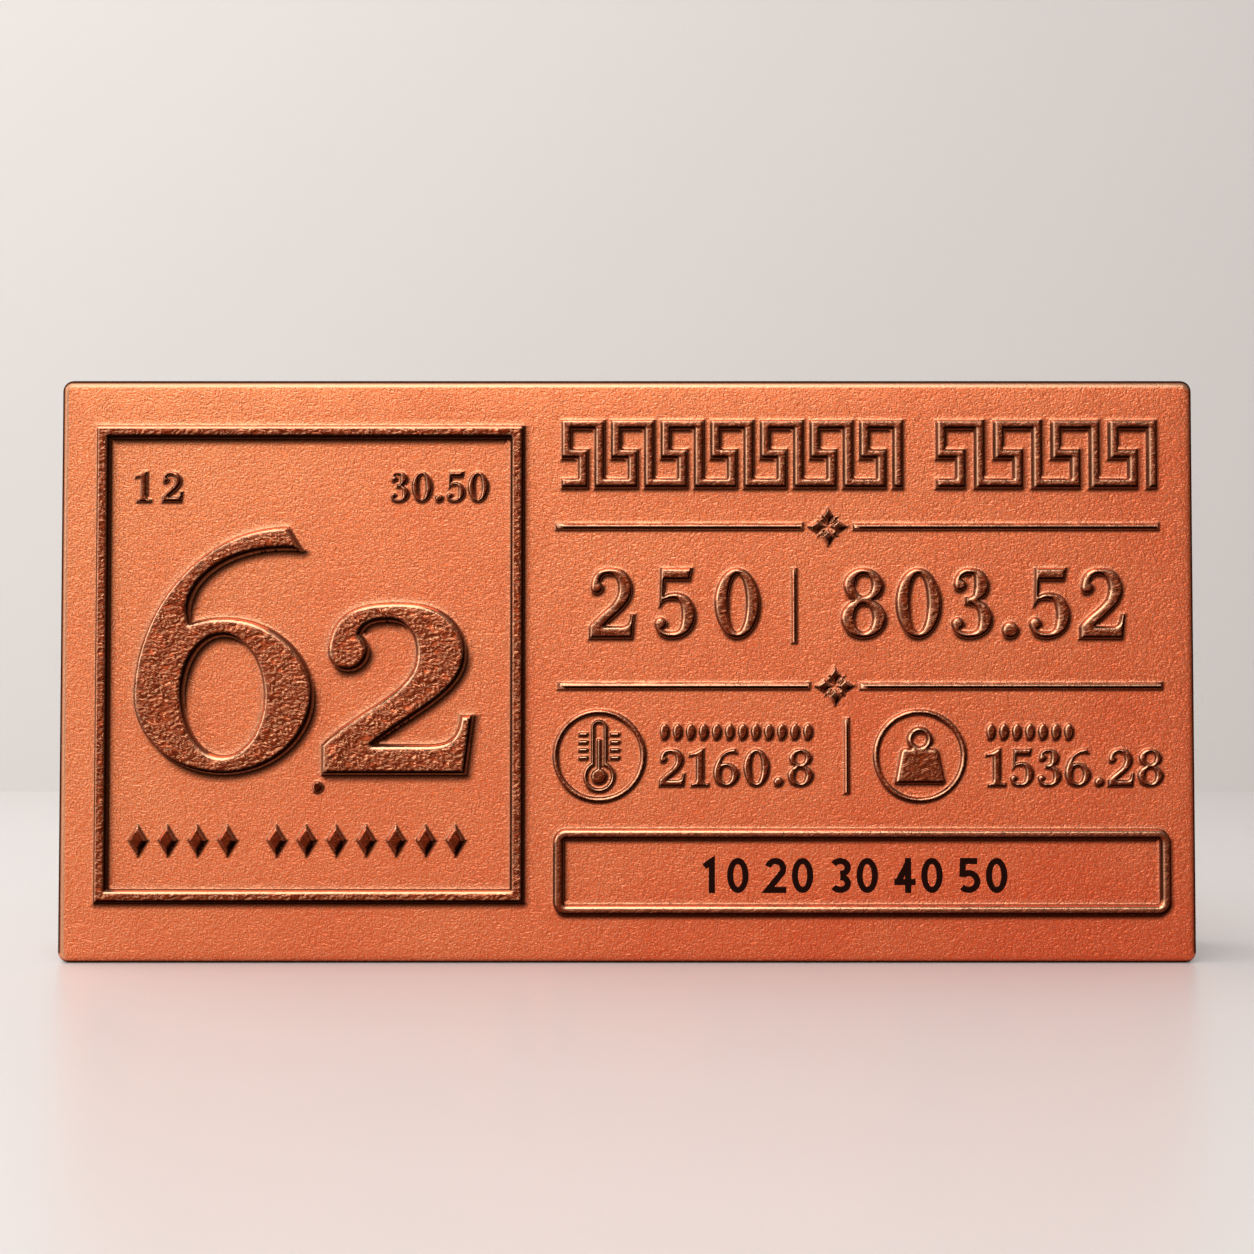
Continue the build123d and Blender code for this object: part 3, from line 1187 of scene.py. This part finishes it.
@dataclass(frozen=True)
class StruckCopper:
    """Pure copper, cold struck in a grained die, darkened with oxide, with painted light and shade over it.

    The die's grain leaves the field matt and orange. The beaten tops hold a brown oxide film with
    a gloss of its own. Painted shade lies black in the lee of each form, and the rims carry a painted
    highlight.
    """

    field: str = "ee8b57"
    # Tarnish in clouds, and painted shade towards the lower right
    tarnish_shade_colour: str = "de5d36"
    # Painted highlight and painted shade on the two sides of each grain line of the field
    grain_painted_highlight: str = "ffbd96"
    grain_painted_shade: str = "c04a20"
    top: str = "a44727"
    top_deep: str = "702a13"
    # Painted highlight and painted shade on the two sides of each crease line of the tops
    crest: str = "f8b083"
    crease_painted_shade: str = "44180a"
    film: str = "672611"
    # Painted shade in the lee of each form, and along the slab's edges and foot
    painted_shade: str = "1c0804"
    # Painted highlight on the bevels and edges that face the upper left, and a painted glow beside them
    rim: str = "f4b48c"
    flank: str = "a04f2c"
    field_rough: float = 0.43
    top_rough: float = 0.28
    rim_rough: float = 0.17
    painted_shade_rough: float = 0.75
    grain: Crinkle = Crinkle(0.36, 0.11, (1.15, 1.0, 0.87), 0.0, 0.6, 0.0001, 0.1)
    crease: Crinkle = Crinkle(0.62, 0.08, (1.8, 1.0, 0.7), -0.35, 1.1, 0.00022, 0.12)
    cloud: float = 14.0
    # Painted shade that deepens the field towards the lower right
    shade_drift: tuple[float, float, float] = (1 / 190, 0, -1 / 125)

    def build(self) -> bpy.types.Material:
        """Returns the material: matt orange field, brown glossy tops, painted black shade and painted bright
        highlights on the rims.
        """
        board = Board("struck_oxidised_copper")
        place = board.add("ShaderNodeTexCoord", out="Object")
        place = board.add("ShaderNodeVectorMath", {"operation": "SCALE"}, {"Scale": 1 / MM}, {0: place})
        layer = {
            name: board.add("ShaderNodeAttribute", {"attribute_name": name}, out="Fac")
            for name in ("crown", "painted_shade", "rim", "film", "flank")
        }
        grain, crease = self.grain.draw(board, place), self.crease.draw(board, place)
        # The painted black shade reflects no tint of its own, so the edge tint fades out under it
        shade = board.add("ShaderNodeMapRange", None, {"From Max": 0.85}, {"Value": layer["painted_shade"]})
        kept = board.add("ShaderNodeMapRange", None, {"To Min": 1.0, "To Max": 0.12}, {"Value": layer["rim"]})
        bumps = self.grain.bump(board, grain, kept), self.crease.bump(board, crease, kept)
        normals = {0: layer["crown"], 4: bumps[0], 5: bumps[1]}
        sockets = {
            "Base Color": self.colour(board, place, layer, grain, crease),
            "Roughness": self.roughness(board, layer),
            "Specular Tint": self.coat(board, "ffffff", (shade, "000000")),
            "Normal": board.add("ShaderNodeMix", {"data_type": "VECTOR"}, None, normals, 1),
        }
        return board.finish(board.add("ShaderNodeBsdfPrincipled", None, {"Metallic": 1.0}, sockets))

    def colour(self, board: Board, place: Socket, layer: dict, grain: tuple, crease: tuple) -> Socket:
        """Colours the field and the tops, and lays painted rim highlights, flanks and painted shade over
        both.

        Args:
            board: The material's board.
            place: Place on the object in mm.
            layer: Sockets of the stored layers by name.
            grain: The drawn grain of the field.
            crease: The drawn creases of the tops.

        Returns:
            The colour's socket.
        """
        tarnish_and_shade = self.mottle_and_shade(board, place)
        ground = self.coat(board, self.field, (tarnish_and_shade, self.tarnish_shade_colour))
        plain = self.paint_crest_light(board, grain[1:], ground, self.grain_painted_highlight, self.grain_painted_shade)
        tarnish_shade_fade = board.add("ShaderNodeMath", {"operation": "MULTIPLY"}, {1: 0.55}, {0: tarnish_and_shade})
        plain = self.coat(board, plain, (tarnish_shade_fade, ground))
        settings = {"From Min": 0.38, "From Max": 0.6}
        speck = board.add("ShaderNodeMapRange", None, settings, {"Value": crease[0]})
        beaten = self.coat(board, self.top_deep, (speck, self.top))
        beaten = self.paint_crest_light(board, crease[1:], beaten, self.crest, self.crease_painted_shade)
        beaten = self.coat(board, beaten, (layer["film"], self.film))
        coats = ((layer[name], getattr(self, name)) for name in ("rim", "flank", "painted_shade"))
        return self.coat(board, plain, (layer["crown"], beaten), *coats)

    def coat(self, board: Board, ground: str | Socket, *coats: tuple[Socket, str | Socket]) -> Socket:
        """Lays coats of colour over a ground.

        Args:
            board: The material's board.
            ground: Colour of the ground, as a hex code or a socket.
            coats: For each coat, how far it covers and its colour, as a hex code or a socket.

        Returns:
            The colour's socket.
        """
        for share, colour in coats:
            given = {6: ground, 7: colour}
            values = {slot: linear(code) for slot, code in given.items() if isinstance(code, str)}
            links = {slot: socket for slot, socket in given.items() if not isinstance(socket, str)}
            ground = board.add("ShaderNodeMix", {"data_type": "RGBA"}, values, {0: share, **links}, 2)
        return ground

    def roughness(self, board: Board, layer: dict) -> Socket:
        """Returns the roughness: matt field, glossier tops, glossy rims where the highlight is painted, and
        dull painted shade.
        """
        ends = {"To Min": self.field_rough, "To Max": self.top_rough}
        rough = board.add("ShaderNodeMapRange", None, ends, {"Value": layer["crown"]})
        for name, value in (("rim", self.rim_rough), ("painted_shade", self.painted_shade_rough)):
            rough = board.add("ShaderNodeMix", None, {3: value}, {0: layer[name], 2: rough})
        return rough

    def paint_crest_light(self, board: Board, crests: tuple, ground: Socket, light: str, dark: str) -> Socket:
        """Paints each crest line with a highlight on its upper left side and shade on its lower right one.

        Args:
            board: The material's board.
            crests: The crest lines, and the same lines moved to the upper left.
            ground: Colour of the ground.
            light: Colour of the painted highlight on the upper left sides.
            dark: Colour of the painted shade on the lower right sides.

        Returns:
            The colour's socket.
        """
        slope = board.add("ShaderNodeMath", {"operation": "SUBTRACT"}, None, {0: crests[1], 1: crests[0]})
        for colour, most in ((light, 1.0), (dark, -1.0)):
            values = {"From Min": 0.1 * most, "From Max": most, "To Max": 0.9}
            share = board.add("ShaderNodeMapRange", None, values, {"Value": slope})
            ground = self.coat(board, ground, (share, colour))
        return ground

    def mottle_and_shade(self, board: Board, place: Socket) -> Socket:
        """Returns how far the field is tarnished in clouds, with painted shade that grows to the lower right.
        """
        values = {"Scale": 1 / self.cloud, "Detail": 3.0, "Roughness": 0.6}
        cloud = board.add("ShaderNodeTexNoise", None, values, {"Vector": place}, "Fac")
        dot = {"operation": "DOT_PRODUCT"}
        across = board.add("ShaderNodeVectorMath", dot, {1: self.shade_drift}, {0: place}, "Value")
        cloud = board.add("ShaderNodeMath", {"operation": "MULTIPLY_ADD"}, {1: 0.8, 2: -0.4}, {0: cloud})
        both = board.add("ShaderNodeMath", {"operation": "ADD"}, None, {0: across, 1: cloud})
        return board.add("ShaderNodeMapRange", None, {"From Min": -0.75, "From Max": 0.25}, {"Value": both})


@dataclass(frozen=True)
class BlackPrint:
    """Laser-blackened copper: a soot-black mark with the field's grain still in it."""

    colour: str = "1e0703"
    grain: float = 0.62

    def build(self) -> bpy.types.Material:
        """Returns the material: matt black that takes no highlight, but shows the grain."""
        board = Board("laser_blackened_copper")
        place = board.add("ShaderNodeTexCoord", out="Object")
        values = {"Scale": 1 / (self.grain * MM), "Detail": 2.0}
        grain = board.add("ShaderNodeTexNoise", None, values, {"Vector": place}, "Fac")
        bump = board.add("ShaderNodeBump", None, {"Strength": 0.4, "Distance": 0.0001}, {"Height": grain})
        values = {"Base Color": linear(self.colour), "Roughness": 0.75, "Specular IOR Level": 0.05}
        return board.finish(board.add("ShaderNodeBsdfPrincipled", None, values, {"Normal": bump}))


@dataclass(frozen=True)
class StudioSurface:
    """Painted board of the studio: pale and plain, with a soft sheen on the floor."""

    name: str
    colour: str
    roughness: float

    def build(self) -> bpy.types.Material:
        """Returns the material."""
        board = Board(self.name)
        values = {"Base Color": linear(self.colour), "Roughness": self.roughness, "IOR": 1.5}
        return board.finish(board.add("ShaderNodeBsdfPrincipled", None, values))


def stored(items: bpy.types.bpy_prop_collection, name: str) -> np.ndarray:
    """Returns a vector that every item of a mesh stores, one row each."""
    values = np.empty(len(items) * 3, np.float32)
    items.foreach_get(name, values)
    return values.reshape(-1, 3)


def new_object(name: str, points: np.ndarray, faces: list, material: bpy.types.Material) -> bpy.types.Object:
    """Makes a smooth-shaded mesh object.

    Args:
        name: Its name.
        points: Its points in metres.
        faces: Its faces, as lists of point numbers.
        material: Its finish.

    Returns:
        The object, linked to the scene.
    """
    mesh = bpy.data.meshes.new(name)
    mesh.from_pydata(points.tolist(), [], faces)
    mesh.materials.append(material)
    mesh.polygons.foreach_set("use_smooth", np.ones(len(mesh.polygons), bool))
    mesh.update()
    made = bpy.data.objects.new(name, mesh)
    bpy.context.scene.collection.objects.link(made)
    return made


@dataclass
class WearAndPaintedLight:
    """How the struck face is darkened by oxide and painted shade, and lit by painted highlights, point by
    point.

    Painted shade lies on the sides that face the lower right, away from the light, and painted highlights lie
    on the other sides and edges.
    """

    strikes: list[Strike]
    found: dict[str, np.ndarray]
    toward: Point = (0.5, -0.87)
    crevice_most: float = 0.35
    painted_glow_most: float = 0.75

    def __post_init__(self) -> None:
        """Works out each point's place on its form, and how far it faces away from the light, to the lower
        right.
        """
        self.gap = self.found["gap"]
        self.side, self.crown, self.foot, self.seam = map(self.struck, ("side", "crown", "foot", "seam"))
        self.away_from_light = self.found["away"] @ np.array(self.toward)
        self.lean = ramp(self.away_from_light, 0.3, 0.75)
        self.up_bevel = (-self.gap - self.side) / self.crown

    def struck(self, name: str) -> np.ndarray:
        """Returns a value of the strike that each point's form was made with."""
        return np.array([getattr(strike, name) for strike in self.strikes])[self.found["own"]]

    def layers(self) -> dict[str, np.ndarray]:
        """Returns the share of beaten crown, painted shade, painted rim highlight and brown film at each
        point.
        """
        crown = np.where(self.gap < 0, ramp(self.up_bevel, 0, 0.6), 0)
        film, rim = self.struck("film") * crown, self.rim()
        # Film past 1 adds painted shade where there is no painted highlight
        painted_shade = np.maximum(self.painted_shade(), (film - 1) * (1 - rim))
        layers = {"crown": crown, "painted_shade": painted_shade, "rim": rim, "film": np.minimum(film, 1)}
        return {name: np.where(self.found["own"] < 0, 0, values) for name, values in layers.items()}

    def painted_shade(self) -> np.ndarray:
        """Returns the painted shade: a painted shadow on the foot, shade on the side and bevel facing away
        from the light, and a dark line at the seam.
        """
        cast = 0.25 + (0.8 * self.foot - 0.25) * self.lean
        shadow = ramp(self.gap / cast, 1.2, 0.2) ** 1.2 * ramp(self.away_from_light, -0.05, 0.45)
        wall = np.clip(0.8 + 1.1 * self.lean - self.up_bevel / 0.55, 0, 1) * ramp(self.away_from_light, -0.2, 0.25)
        seam = self.seam * np.clip(1.6 - np.abs(self.gap + self.side) / (0.3 * self.crown), 0, 1)
        crevice = np.minimum(self.seam, self.crevice_most) * ramp(np.abs(self.gap) / self.side, 0.7, 0)
        line = np.where(self.away_from_light < -0.55, crevice, seam)
        painted_shade = np.maximum(np.where(self.gap > 0, shadow, wall), line)
        return 1 - (1 - painted_shade) ** 1.6

    def rim(self) -> np.ndarray:
        """Returns the painted highlight: on the bevels that face the upper left, and a painted glow on the
        foot there.
        """
        bevel_highlight = np.clip(2.6 - 2.7 * self.up_bevel / self.struck("gleam"), 0, 1)
        bevel_highlight = bevel_highlight * ramp(self.up_bevel, -0.4, -0.2)
        painted_glow = self.painted_glow_most * ramp(self.gap / self.foot, 0.6, 0) ** 1.3
        # The painted highlight lies only on the sides that face the upper left, towards the light
        facing = np.clip((0.3 - 0.4 * self.seam - self.away_from_light) / 0.75, 0, 1)
        return np.where(self.gap > 0, painted_glow, bevel_highlight) * facing


@dataclass
class Ingot:
    """The slab with its struck face, as one closed mesh, in mm."""

    length: float
    thickness: float
    height: float
    relief: float = 1.2
    corner: float = 1.1
    edge: float = 0.9
    edge_rows: int = 7
    corner_steps: int = 5
    side_rows: int = 6
    pitch: float = 1.2
    back_pitch: float = 3.5
    tile_margins: Point = (3.8, 6.1)
    column_gap: float = 3.05
    column_margin: float = 2.8
    header_in: float = 0.8
    header_drop: float = 4.1
    # Start, space left at the end, rosette and drop of each rule
    rules: tuple[tuple[float, ...], ...] = ((0.2, 0.85, 27.5, 14.8), (0.4, 0.6, 28.15, 30.8))

    @classmethod
    def from_frame(cls, node: str) -> "Ingot":
        """Takes the slab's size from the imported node."""
        low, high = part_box(node)
        return cls(*((high - low) / MM))

    @property
    def field_y(self) -> float:
        """Place of the field, which faces -Y."""
        return self.relief - self.thickness / 2

    @property
    def tile(self) -> Tile:
        """The tile, set in from the left side and the foot."""
        left, foot = self.tile_margins
        return Tile(-self.length / 2 + left, foot)

    @property
    def column(self) -> Point:
        """Left and right ends of the column on the right."""
        left = self.tile.left + self.tile.width + self.column_gap
        return left, self.length / 2 - self.column_margin

    def design(self) -> list[Form]:
        """Builds every sub-assembly of the design and returns its forms."""
        left, right = self.column
        upper, lower = (
            Rule(left + start, right - space, left + rosette, self.height - drop)
            for start, space, rosette, drop in self.rules
        )
        parts = {
            "tile": self.tile,
            "header": Header(left + self.header_in, self.height - self.header_drop - Header.height),
            "upper rule": upper,
            "lower rule": lower,
            "figures": Figures(),
            "properties": Properties(),
            "cartouche": Cartouche(left, right),
        }
        forms = []
        for name, part in parts.items():
            made = part.forms()
            log.info("%s: %d forms", name, len(made))
            forms += made
        return forms

    def ring(self, inset: float) -> Loop:
        """Returns the slab's outline, drawn in by the inset, with the same points for every inset."""
        radius = self.corner - inset
        across, low, high = self.length / 2 - self.corner, self.corner, self.height - self.corner
        middles = [(across, high), (-across, high), (-across, low), (across, low)]
        spans = [self.length - 2 * self.corner, self.height - 2 * self.corner] * 2
        points = []
        for index, ((x, z), span) in enumerate(zip(middles, spans)):
            points += arc_points((x, z), (radius, radius), 90 * index, 90, self.corner_steps)
            ahead, last = middles[(index + 1) % 4], points[-1]
            count = math.ceil(span / self.pitch)
            for k in range(1, count):
                share = k / count
                points.append((last[0] + (ahead[0] - x) * share, last[1] + (ahead[1] - z) * share))
        return np.array(points)

    def stations(self) -> list[Point]:
        """Returns the inset and the Y of each ring behind the field, from front to back."""
        front, back = self.field_y, self.thickness / 2
        quarter = np.linspace(0, math.pi / 2, self.edge_rows)
        steps = [(self.edge * (1 - math.sin(a)), self.edge * (1 - math.cos(a))) for a in quarter]
        stations = [(inset, front + depth) for inset, depth in steps[1:]]
        span = np.linspace(front + self.edge, back - self.edge, self.side_rows + 1)[1:-1]
        stations += [(0.0, float(y)) for y in span]
        stations += [(self.edge * (1 - math.cos(a)), back - self.edge * (1 - math.sin(a))) for a in quarter]
        return stations

    def build(self, material: bpy.types.Material) -> bpy.types.Object:
        """Builds the closed mesh and dresses it.

        Args:
            material: Its copper.

        Returns:
            The object.
        """
        border = self.ring(self.edge)
        face = StruckFace(self.design(), border)
        places, triangles, found = face.mesh()
        rise = face.beat(places, found)
        front = np.column_stack([places[:, 0], self.field_y - rise, places[:, 1]])
        points, faces = [front], [tuple(t) for t in triangles]
        before, count = np.arange(len(border)), len(front)
        for inset, y in self.stations():
            ring = self.ring(inset)
            points.append(np.column_stack([ring[:, 0], np.full(len(ring), y), ring[:, 1]]))
            after = np.arange(count, count + len(ring))
            for a, b, c, d in zip(before, np.roll(before, -1), np.roll(after, -1), after):
                faces.append((int(a), int(d), int(c), int(b)))
            before, count = after, count + len(ring)
        back, flat = self.back(points[-1][:, [0, 2]])
        points.append(np.column_stack([back[:, 0], np.full(len(back), self.thickness / 2), back[:, 1]]))
        numbers = np.concatenate([before, np.arange(count, count + len(back))])
        faces += [tuple(numbers[list(t)][::-1].tolist()) for t in flat]
        made = new_object("struck_ingot", np.vstack(points) * MM, faces, material)
        normals = stored(made.data.vertex_normals, "vector")
        inner = slice(len(border), len(places))
        kept = {name: values[inner] for name, values in found.items()}
        normals[inner] = face.normals(places[inner], kept, normals[inner])
        made.data.normals_split_custom_set_from_vertices(normals.tolist())
        self.mark(made, face, found)
        self.lay_out(made, len(triangles))
        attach(made, BODY)
        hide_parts(NODE)
        return made

    def back(self, rim: Loop) -> tuple[np.ndarray, list[list[int]]]:
        """Covers the plain back.

        Args:
            rim: The last ring.

        Returns:
            The points inside the rim, and triangles that count the rim's points first.
        """
        step = self.back_pitch
        reach = step * math.floor((self.length / 2 - step) / step)
        along = np.arange(-reach, reach + step / 2, step)
        x, z = np.meshgrid(along, np.arange(step, self.height - step, step))
        inside = np.column_stack([x.ravel(), z.ravel()])
        coords = [Vector(p) for p in np.vstack([rim, inside])]
        loop = [(k, (k + 1) % len(rim)) for k in range(len(rim))]
        _, _, triangles, origins, _, _ = delaunay_2d_cdt(coords, loop, [], 0, 1e-6, True)
        old = [origin[0] for origin in origins]
        return inside, [[old[k] for k in t] for t in triangles]

    def mark(self, made: bpy.types.Object, face: StruckFace, found: dict[str, np.ndarray]) -> None:
        """Stores the layers that the copper is mixed by: those of the face, and of the slab's edges.

        Args:
            made: The ingot's object.
            face: The face, whose points come first.
            found: Their survey.
        """
        layers = WearAndPaintedLight([form.strike for form in face.forms] + [BEATEN], found).layers()
        front, count = len(found["gap"]), len(made.data.vertices)
        layers = {name: np.pad(values, (0, count - front)) for name, values in layers.items()}
        x, y, z = (stored(made.data.vertices, "co").astype(float) / MM).T
        depth, behind = y - self.field_y, self.thickness / 2 - y
        upper = z > self.height - self.edge
        # Painted highlight, with a little painted shade, on the rounded top and left edges of the slab
        lit = (upper | (x < self.edge - self.length / 2)) & (np.arange(count) >= front)
        turned = lit * ramp(depth, 0, 0.03) * np.clip(2 - depth / np.where(upper, 0.18, 0.09), 0, 1)
        # Painted shade on the rounded edge where it turns away, all round but the foot
        painted_edge_shade = 0.9 * ramp(depth, 0.07, 0.19) * ramp(depth, 1.3 * self.edge, 1.3 * self.edge - 0.2)
        painted_edge_shade = painted_edge_shade * ramp(z, self.edge, self.edge + 0.1)
        # Painted contact shadow along the foot of the slab
        under = np.clip(1.3 - z / (0.3 * self.edge), 0, 1) * (depth > 0.1)
        layers["rim"] = np.maximum(layers["rim"], 0.9 * turned)
        layers["painted_shade"] = np.maximum.reduce([layers["painted_shade"], 0.2 * turned, painted_edge_shade, under])
        layers["flank"] = ramp(np.minimum(depth, behind), 0.3, 0.42)
        for name, values in layers.items():
            layer = made.data.attributes.new(name, "FLOAT", "POINT")
            layer.data.foreach_set("value", values.astype(np.float32))

    def lay_out(self, made: bpy.types.Object, front: int) -> None:
        """Lays the mesh out flat for baking: the face at full size, the rest at half size beside it.

        Args:
            made: The ingot's object.
            front: How many faces, counted from the first, are on the struck face.
        """
        mesh = made.data
        margin = 0.01
        scale = (1 - 2 * margin) / (self.length * MM)
        half = scale / 2
        corner = np.array([loop.vertex_index for loop in mesh.loops])
        face_of = np.repeat(np.arange(len(mesh.polygons)), [p.loop_total for p in mesh.polygons])
        normals = np.array([p.normal[:] for p in mesh.polygons])
        axis = np.abs(normals).argmax(1)
        sign = np.sign(normals[np.arange(len(normals)), axis])
        axis[:front], sign[:front] = 1, -1
        x, y, z = stored(mesh.vertices, "co")[corner].T
        x, y = x + self.length / 2 * MM, y + self.thickness / 2 * MM
        uv = np.column_stack([margin + x * scale, margin + z * scale])
        # The way each strip's faces look, and its place: the back, the top, the foot and the two ends
        strips = [
            ((1, 1), 0.51 - x * half, 0.53 + z * half),
            ((2, 1), margin + x * half, 0.80 + y * half),
            ((2, -1), margin + x * half, 0.89 + y * half),
            ((0, 1), 0.53 + z * half, 0.53 + y * half),
            ((0, -1), 0.53 + z * half, 0.62 + y * half),
        ]
        for (way, side), u, v in strips:
            chosen = ((axis == way) & (sign == side))[face_of]
            uv[chosen] = np.column_stack([u, v])[chosen]
        mesh.uv_layers.new(name="OFBake").data.foreach_set("uv", uv.astype(np.float32).ravel())


@dataclass
class PrintedNumbers:
    """Row of plain black numbers in the cartouche, printed on the field."""

    numbers: tuple[str, ...] = ("10", "20", "30", "40", "50")
    left: float = 7.3
    right: float = 38.0
    base: float = 7.0
    tall: float = 3.5
    slim: float = 2.15
    stroke: float = 0.62
    gap: float = 0.55
    film: float = 0.012

    def routes(self, digit: str) -> list[list[Point]]:
        """Returns the middle lines of one digit's strokes, its foot on the x axis."""
        h = self.stroke / 2
        w, t = self.slim - h, self.tall - h
        m, r = self.slim / 2, (self.slim - self.stroke) / 2
        quarter = self.tall / 4 + h / 4
        drawn = {
            "1": [[(h + 0.1, t - 0.55), (m + 0.1, t - 0.02), (m + 0.1, 0)]],
            "2": [arc_points((m, self.tall - h - r), (r, r), 165, -205, 14) + [(h, h), (self.slim, h)]],
            "3": [
                arc_points((m, self.tall - quarter), (r, quarter - h), 150, -240, 14),
                arc_points((m, quarter), (r, quarter - h), 90, -240, 14),
            ],
            "4": [
                [(w - 0.45, 0), (w - 0.45, self.tall)],
                [(w - 0.35, self.tall - 0.3), (h + 0.1, 1.15)],
                [(0, 1.1), (self.slim, 1.1)],
            ],
            "5": [
                [(w, t), (h + 0.1, t), (h + 0.04, self.tall / 2 - 0.15)],
                arc_points((m - 0.1, 1.15), (r + 0.1, 1.15 - h), 132, -272, 16),
            ],
        }
        return drawn[digit]

    def shape(self, digit: str) -> Blank:
        """Draws one digit with its bars, or 0 as an upright ring."""
        if digit != "0":
            return Blank([band(route, self.stroke) for route in self.routes(digit)])
        middle = self.slim / 2, self.tall / 2
        ring = ellipse(*middle, *middle, 0.2)
        return Blank([ring], [ellipse(*middle, middle[0] - self.stroke, middle[1] - self.stroke, 0.2)])

    def blank(self) -> Blank:
        """Sets the row of numbers."""
        widths = [len(n) * self.slim + (len(n) - 1) * self.gap for n in self.numbers]
        space = (self.right - self.left - sum(widths)) / (len(self.numbers) - 1)
        row, x = Blank([]), self.left
        for number in self.numbers:
            for digit in number:
                row = row.joined(self.shape(digit).placed(x, self.base))
                x += self.slim + self.gap
            x += space - self.gap
        return row

    def build(self, field_y: float, material: bpy.types.Material) -> bpy.types.Object:
        """Builds the print as a thin closed film on the field.

        Args:
            field_y: Place of the field.
            material: Its black.

        Returns:
            The object.
        """
        loops = self.blank().outlines()
        coords, edges = [], []
        for loop in loops:
            start = len(coords)
            coords += [Vector(p) for p in loop]
            edges += [(start + k, start + (k + 1) % len(loop)) for k in range(len(loop))]
        found, _, triangles, _, _, _ = delaunay_2d_cdt(coords, edges, [], 0, 1e-6, True)
        flat = np.array([p[:] for p in found])
        middles = flat[np.array(triangles)].mean(1)
        kept = [t for t, gap in zip(triangles, distance_to(middles, loops)[0]) if gap < 0]
        count = len(flat)
        top = np.column_stack([flat[:, 0], np.full(count, field_y - self.film), flat[:, 1]])
        low = top + np.array([0, 2 * self.film, 0])
        halves = {(t[k], t[(k + 1) % 3]) for t in kept for k in range(3)}
        walls = [(b, a, a + count, b + count) for a, b in halves if (b, a) not in halves]
        faces = [tuple(t) for t in kept] + [tuple(k + count for k in t[::-1]) for t in kept] + walls
        made = new_object("printed_numbers", np.vstack([top, low]) * MM, faces, material)
        made.data.polygons.foreach_set("use_smooth", np.zeros(len(made.data.polygons), bool))
        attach(made, BODY)
        return made


class Lamp(Enum):
    """Softboxes of the studio: place, width and height in metres, and power in watts."""

    OVERHEAD = ((-0.14, -0.10, 0.50), (0.84, 0.36), 1.9)
    FRONT = ((-0.16, -1.10, 0.80), (1.4, 1.0), 8.9)
    LEFT = ((-0.60, -0.12, 0.24), (0.5, 0.5), 1.4)


@dataclass
class Studio:
    """Floor, backdrop, softboxes and the camera, in metres and degrees."""

    target: Vector
    wall_y: float = 0.27
    wall_height: float = 1.6
    reach: float = 3.0
    air: float = 0.24
    floor: StudioSurface = StudioSurface("satin_painted_floor", "dfdad7", 0.34)
    wall: StudioSurface = StudioSurface("matt_painted_backdrop", "d5d0cc", 0.8)
    camera_place: tuple[float, float, float] = (0, -0.1869, 0.0282)
    camera_pitch: float = 1.72
    camera_lens: float = 51.3

    def build(self) -> None:
        """Builds the whole studio."""
        half = self.reach / 2
        front = [(-half, -self.reach, 0), (half, -self.reach, 0)]
        back = [(half, self.wall_y, 0), (-half, self.wall_y, 0)]
        top = [(x, y, self.wall_height) for x, y, _ in back]
        self.board("floor", front + back, self.floor)
        self.board("backdrop", back[::-1] + top, self.wall)
        for lamp in Lamp:
            self.hang(lamp)
        self.fill()
        self.aim()

    def board(self, name: str, corners: list[tuple[float, float, float]], surface: StudioSurface) -> None:
        """Sets up one flat board of the studio."""
        new_object(name, np.array(corners), [(0, 1, 2, 3)], surface.build())

    def fill(self) -> None:
        """Fills the air with a dim even white."""
        world = bpy.data.worlds.new("studio_air")
        bpy.context.scene.world = world
        world.use_nodes = True
        background = world.node_tree.nodes["Background"]
        background.inputs["Color"].default_value = linear("ffffff")
        background.inputs["Strength"].default_value = self.air

    def hang(self, lamp: Lamp) -> None:
        """Hangs one softbox, turned to the target."""
        place, size, power = lamp.value
        light = bpy.data.lights.new(lamp.name.lower(), "AREA")
        light.shape = "RECTANGLE"
        light.size, light.size_y = size
        light.energy = power
        made = bpy.data.objects.new(lamp.name.lower(), light)
        made.location = place
        made.rotation_euler = (self.target - Vector(place)).to_track_quat("-Z", "Y").to_euler()
        bpy.context.scene.collection.objects.link(made)

    def aim(self) -> None:
        """Sets the camera low in front of the face, looking up a little."""
        lens = bpy.data.cameras.new("camera")
        lens.lens = self.camera_lens
        lens.sensor_width = 36.0
        lens.clip_start = 0.01
        made = bpy.data.objects.new("camera", lens)
        made.location = self.camera_place
        made.rotation_euler = (math.radians(90 + self.camera_pitch), 0, 0)
        bpy.context.scene.collection.objects.link(made)
        bpy.context.scene.camera = made


def main() -> None:
    """Builds the ingot, its print and the studio."""
    ingot = Ingot.from_frame(NODE)
    struck = ingot.build(StruckCopper().build())
    log.info("struck ingot: %d faces", len(struck.data.polygons))
    printed = PrintedNumbers().build(ingot.field_y, BlackPrint().build())
    log.info("printed numbers: %d faces", len(printed.data.polygons))
    Studio(Vector((0, 0, ingot.height / 2 * MM))).build()
    log.info("studio: %d softboxes", len(Lamp))
    bpy.context.scene.view_settings.view_transform = "Standard"


if __name__ == "__main__":
    main()
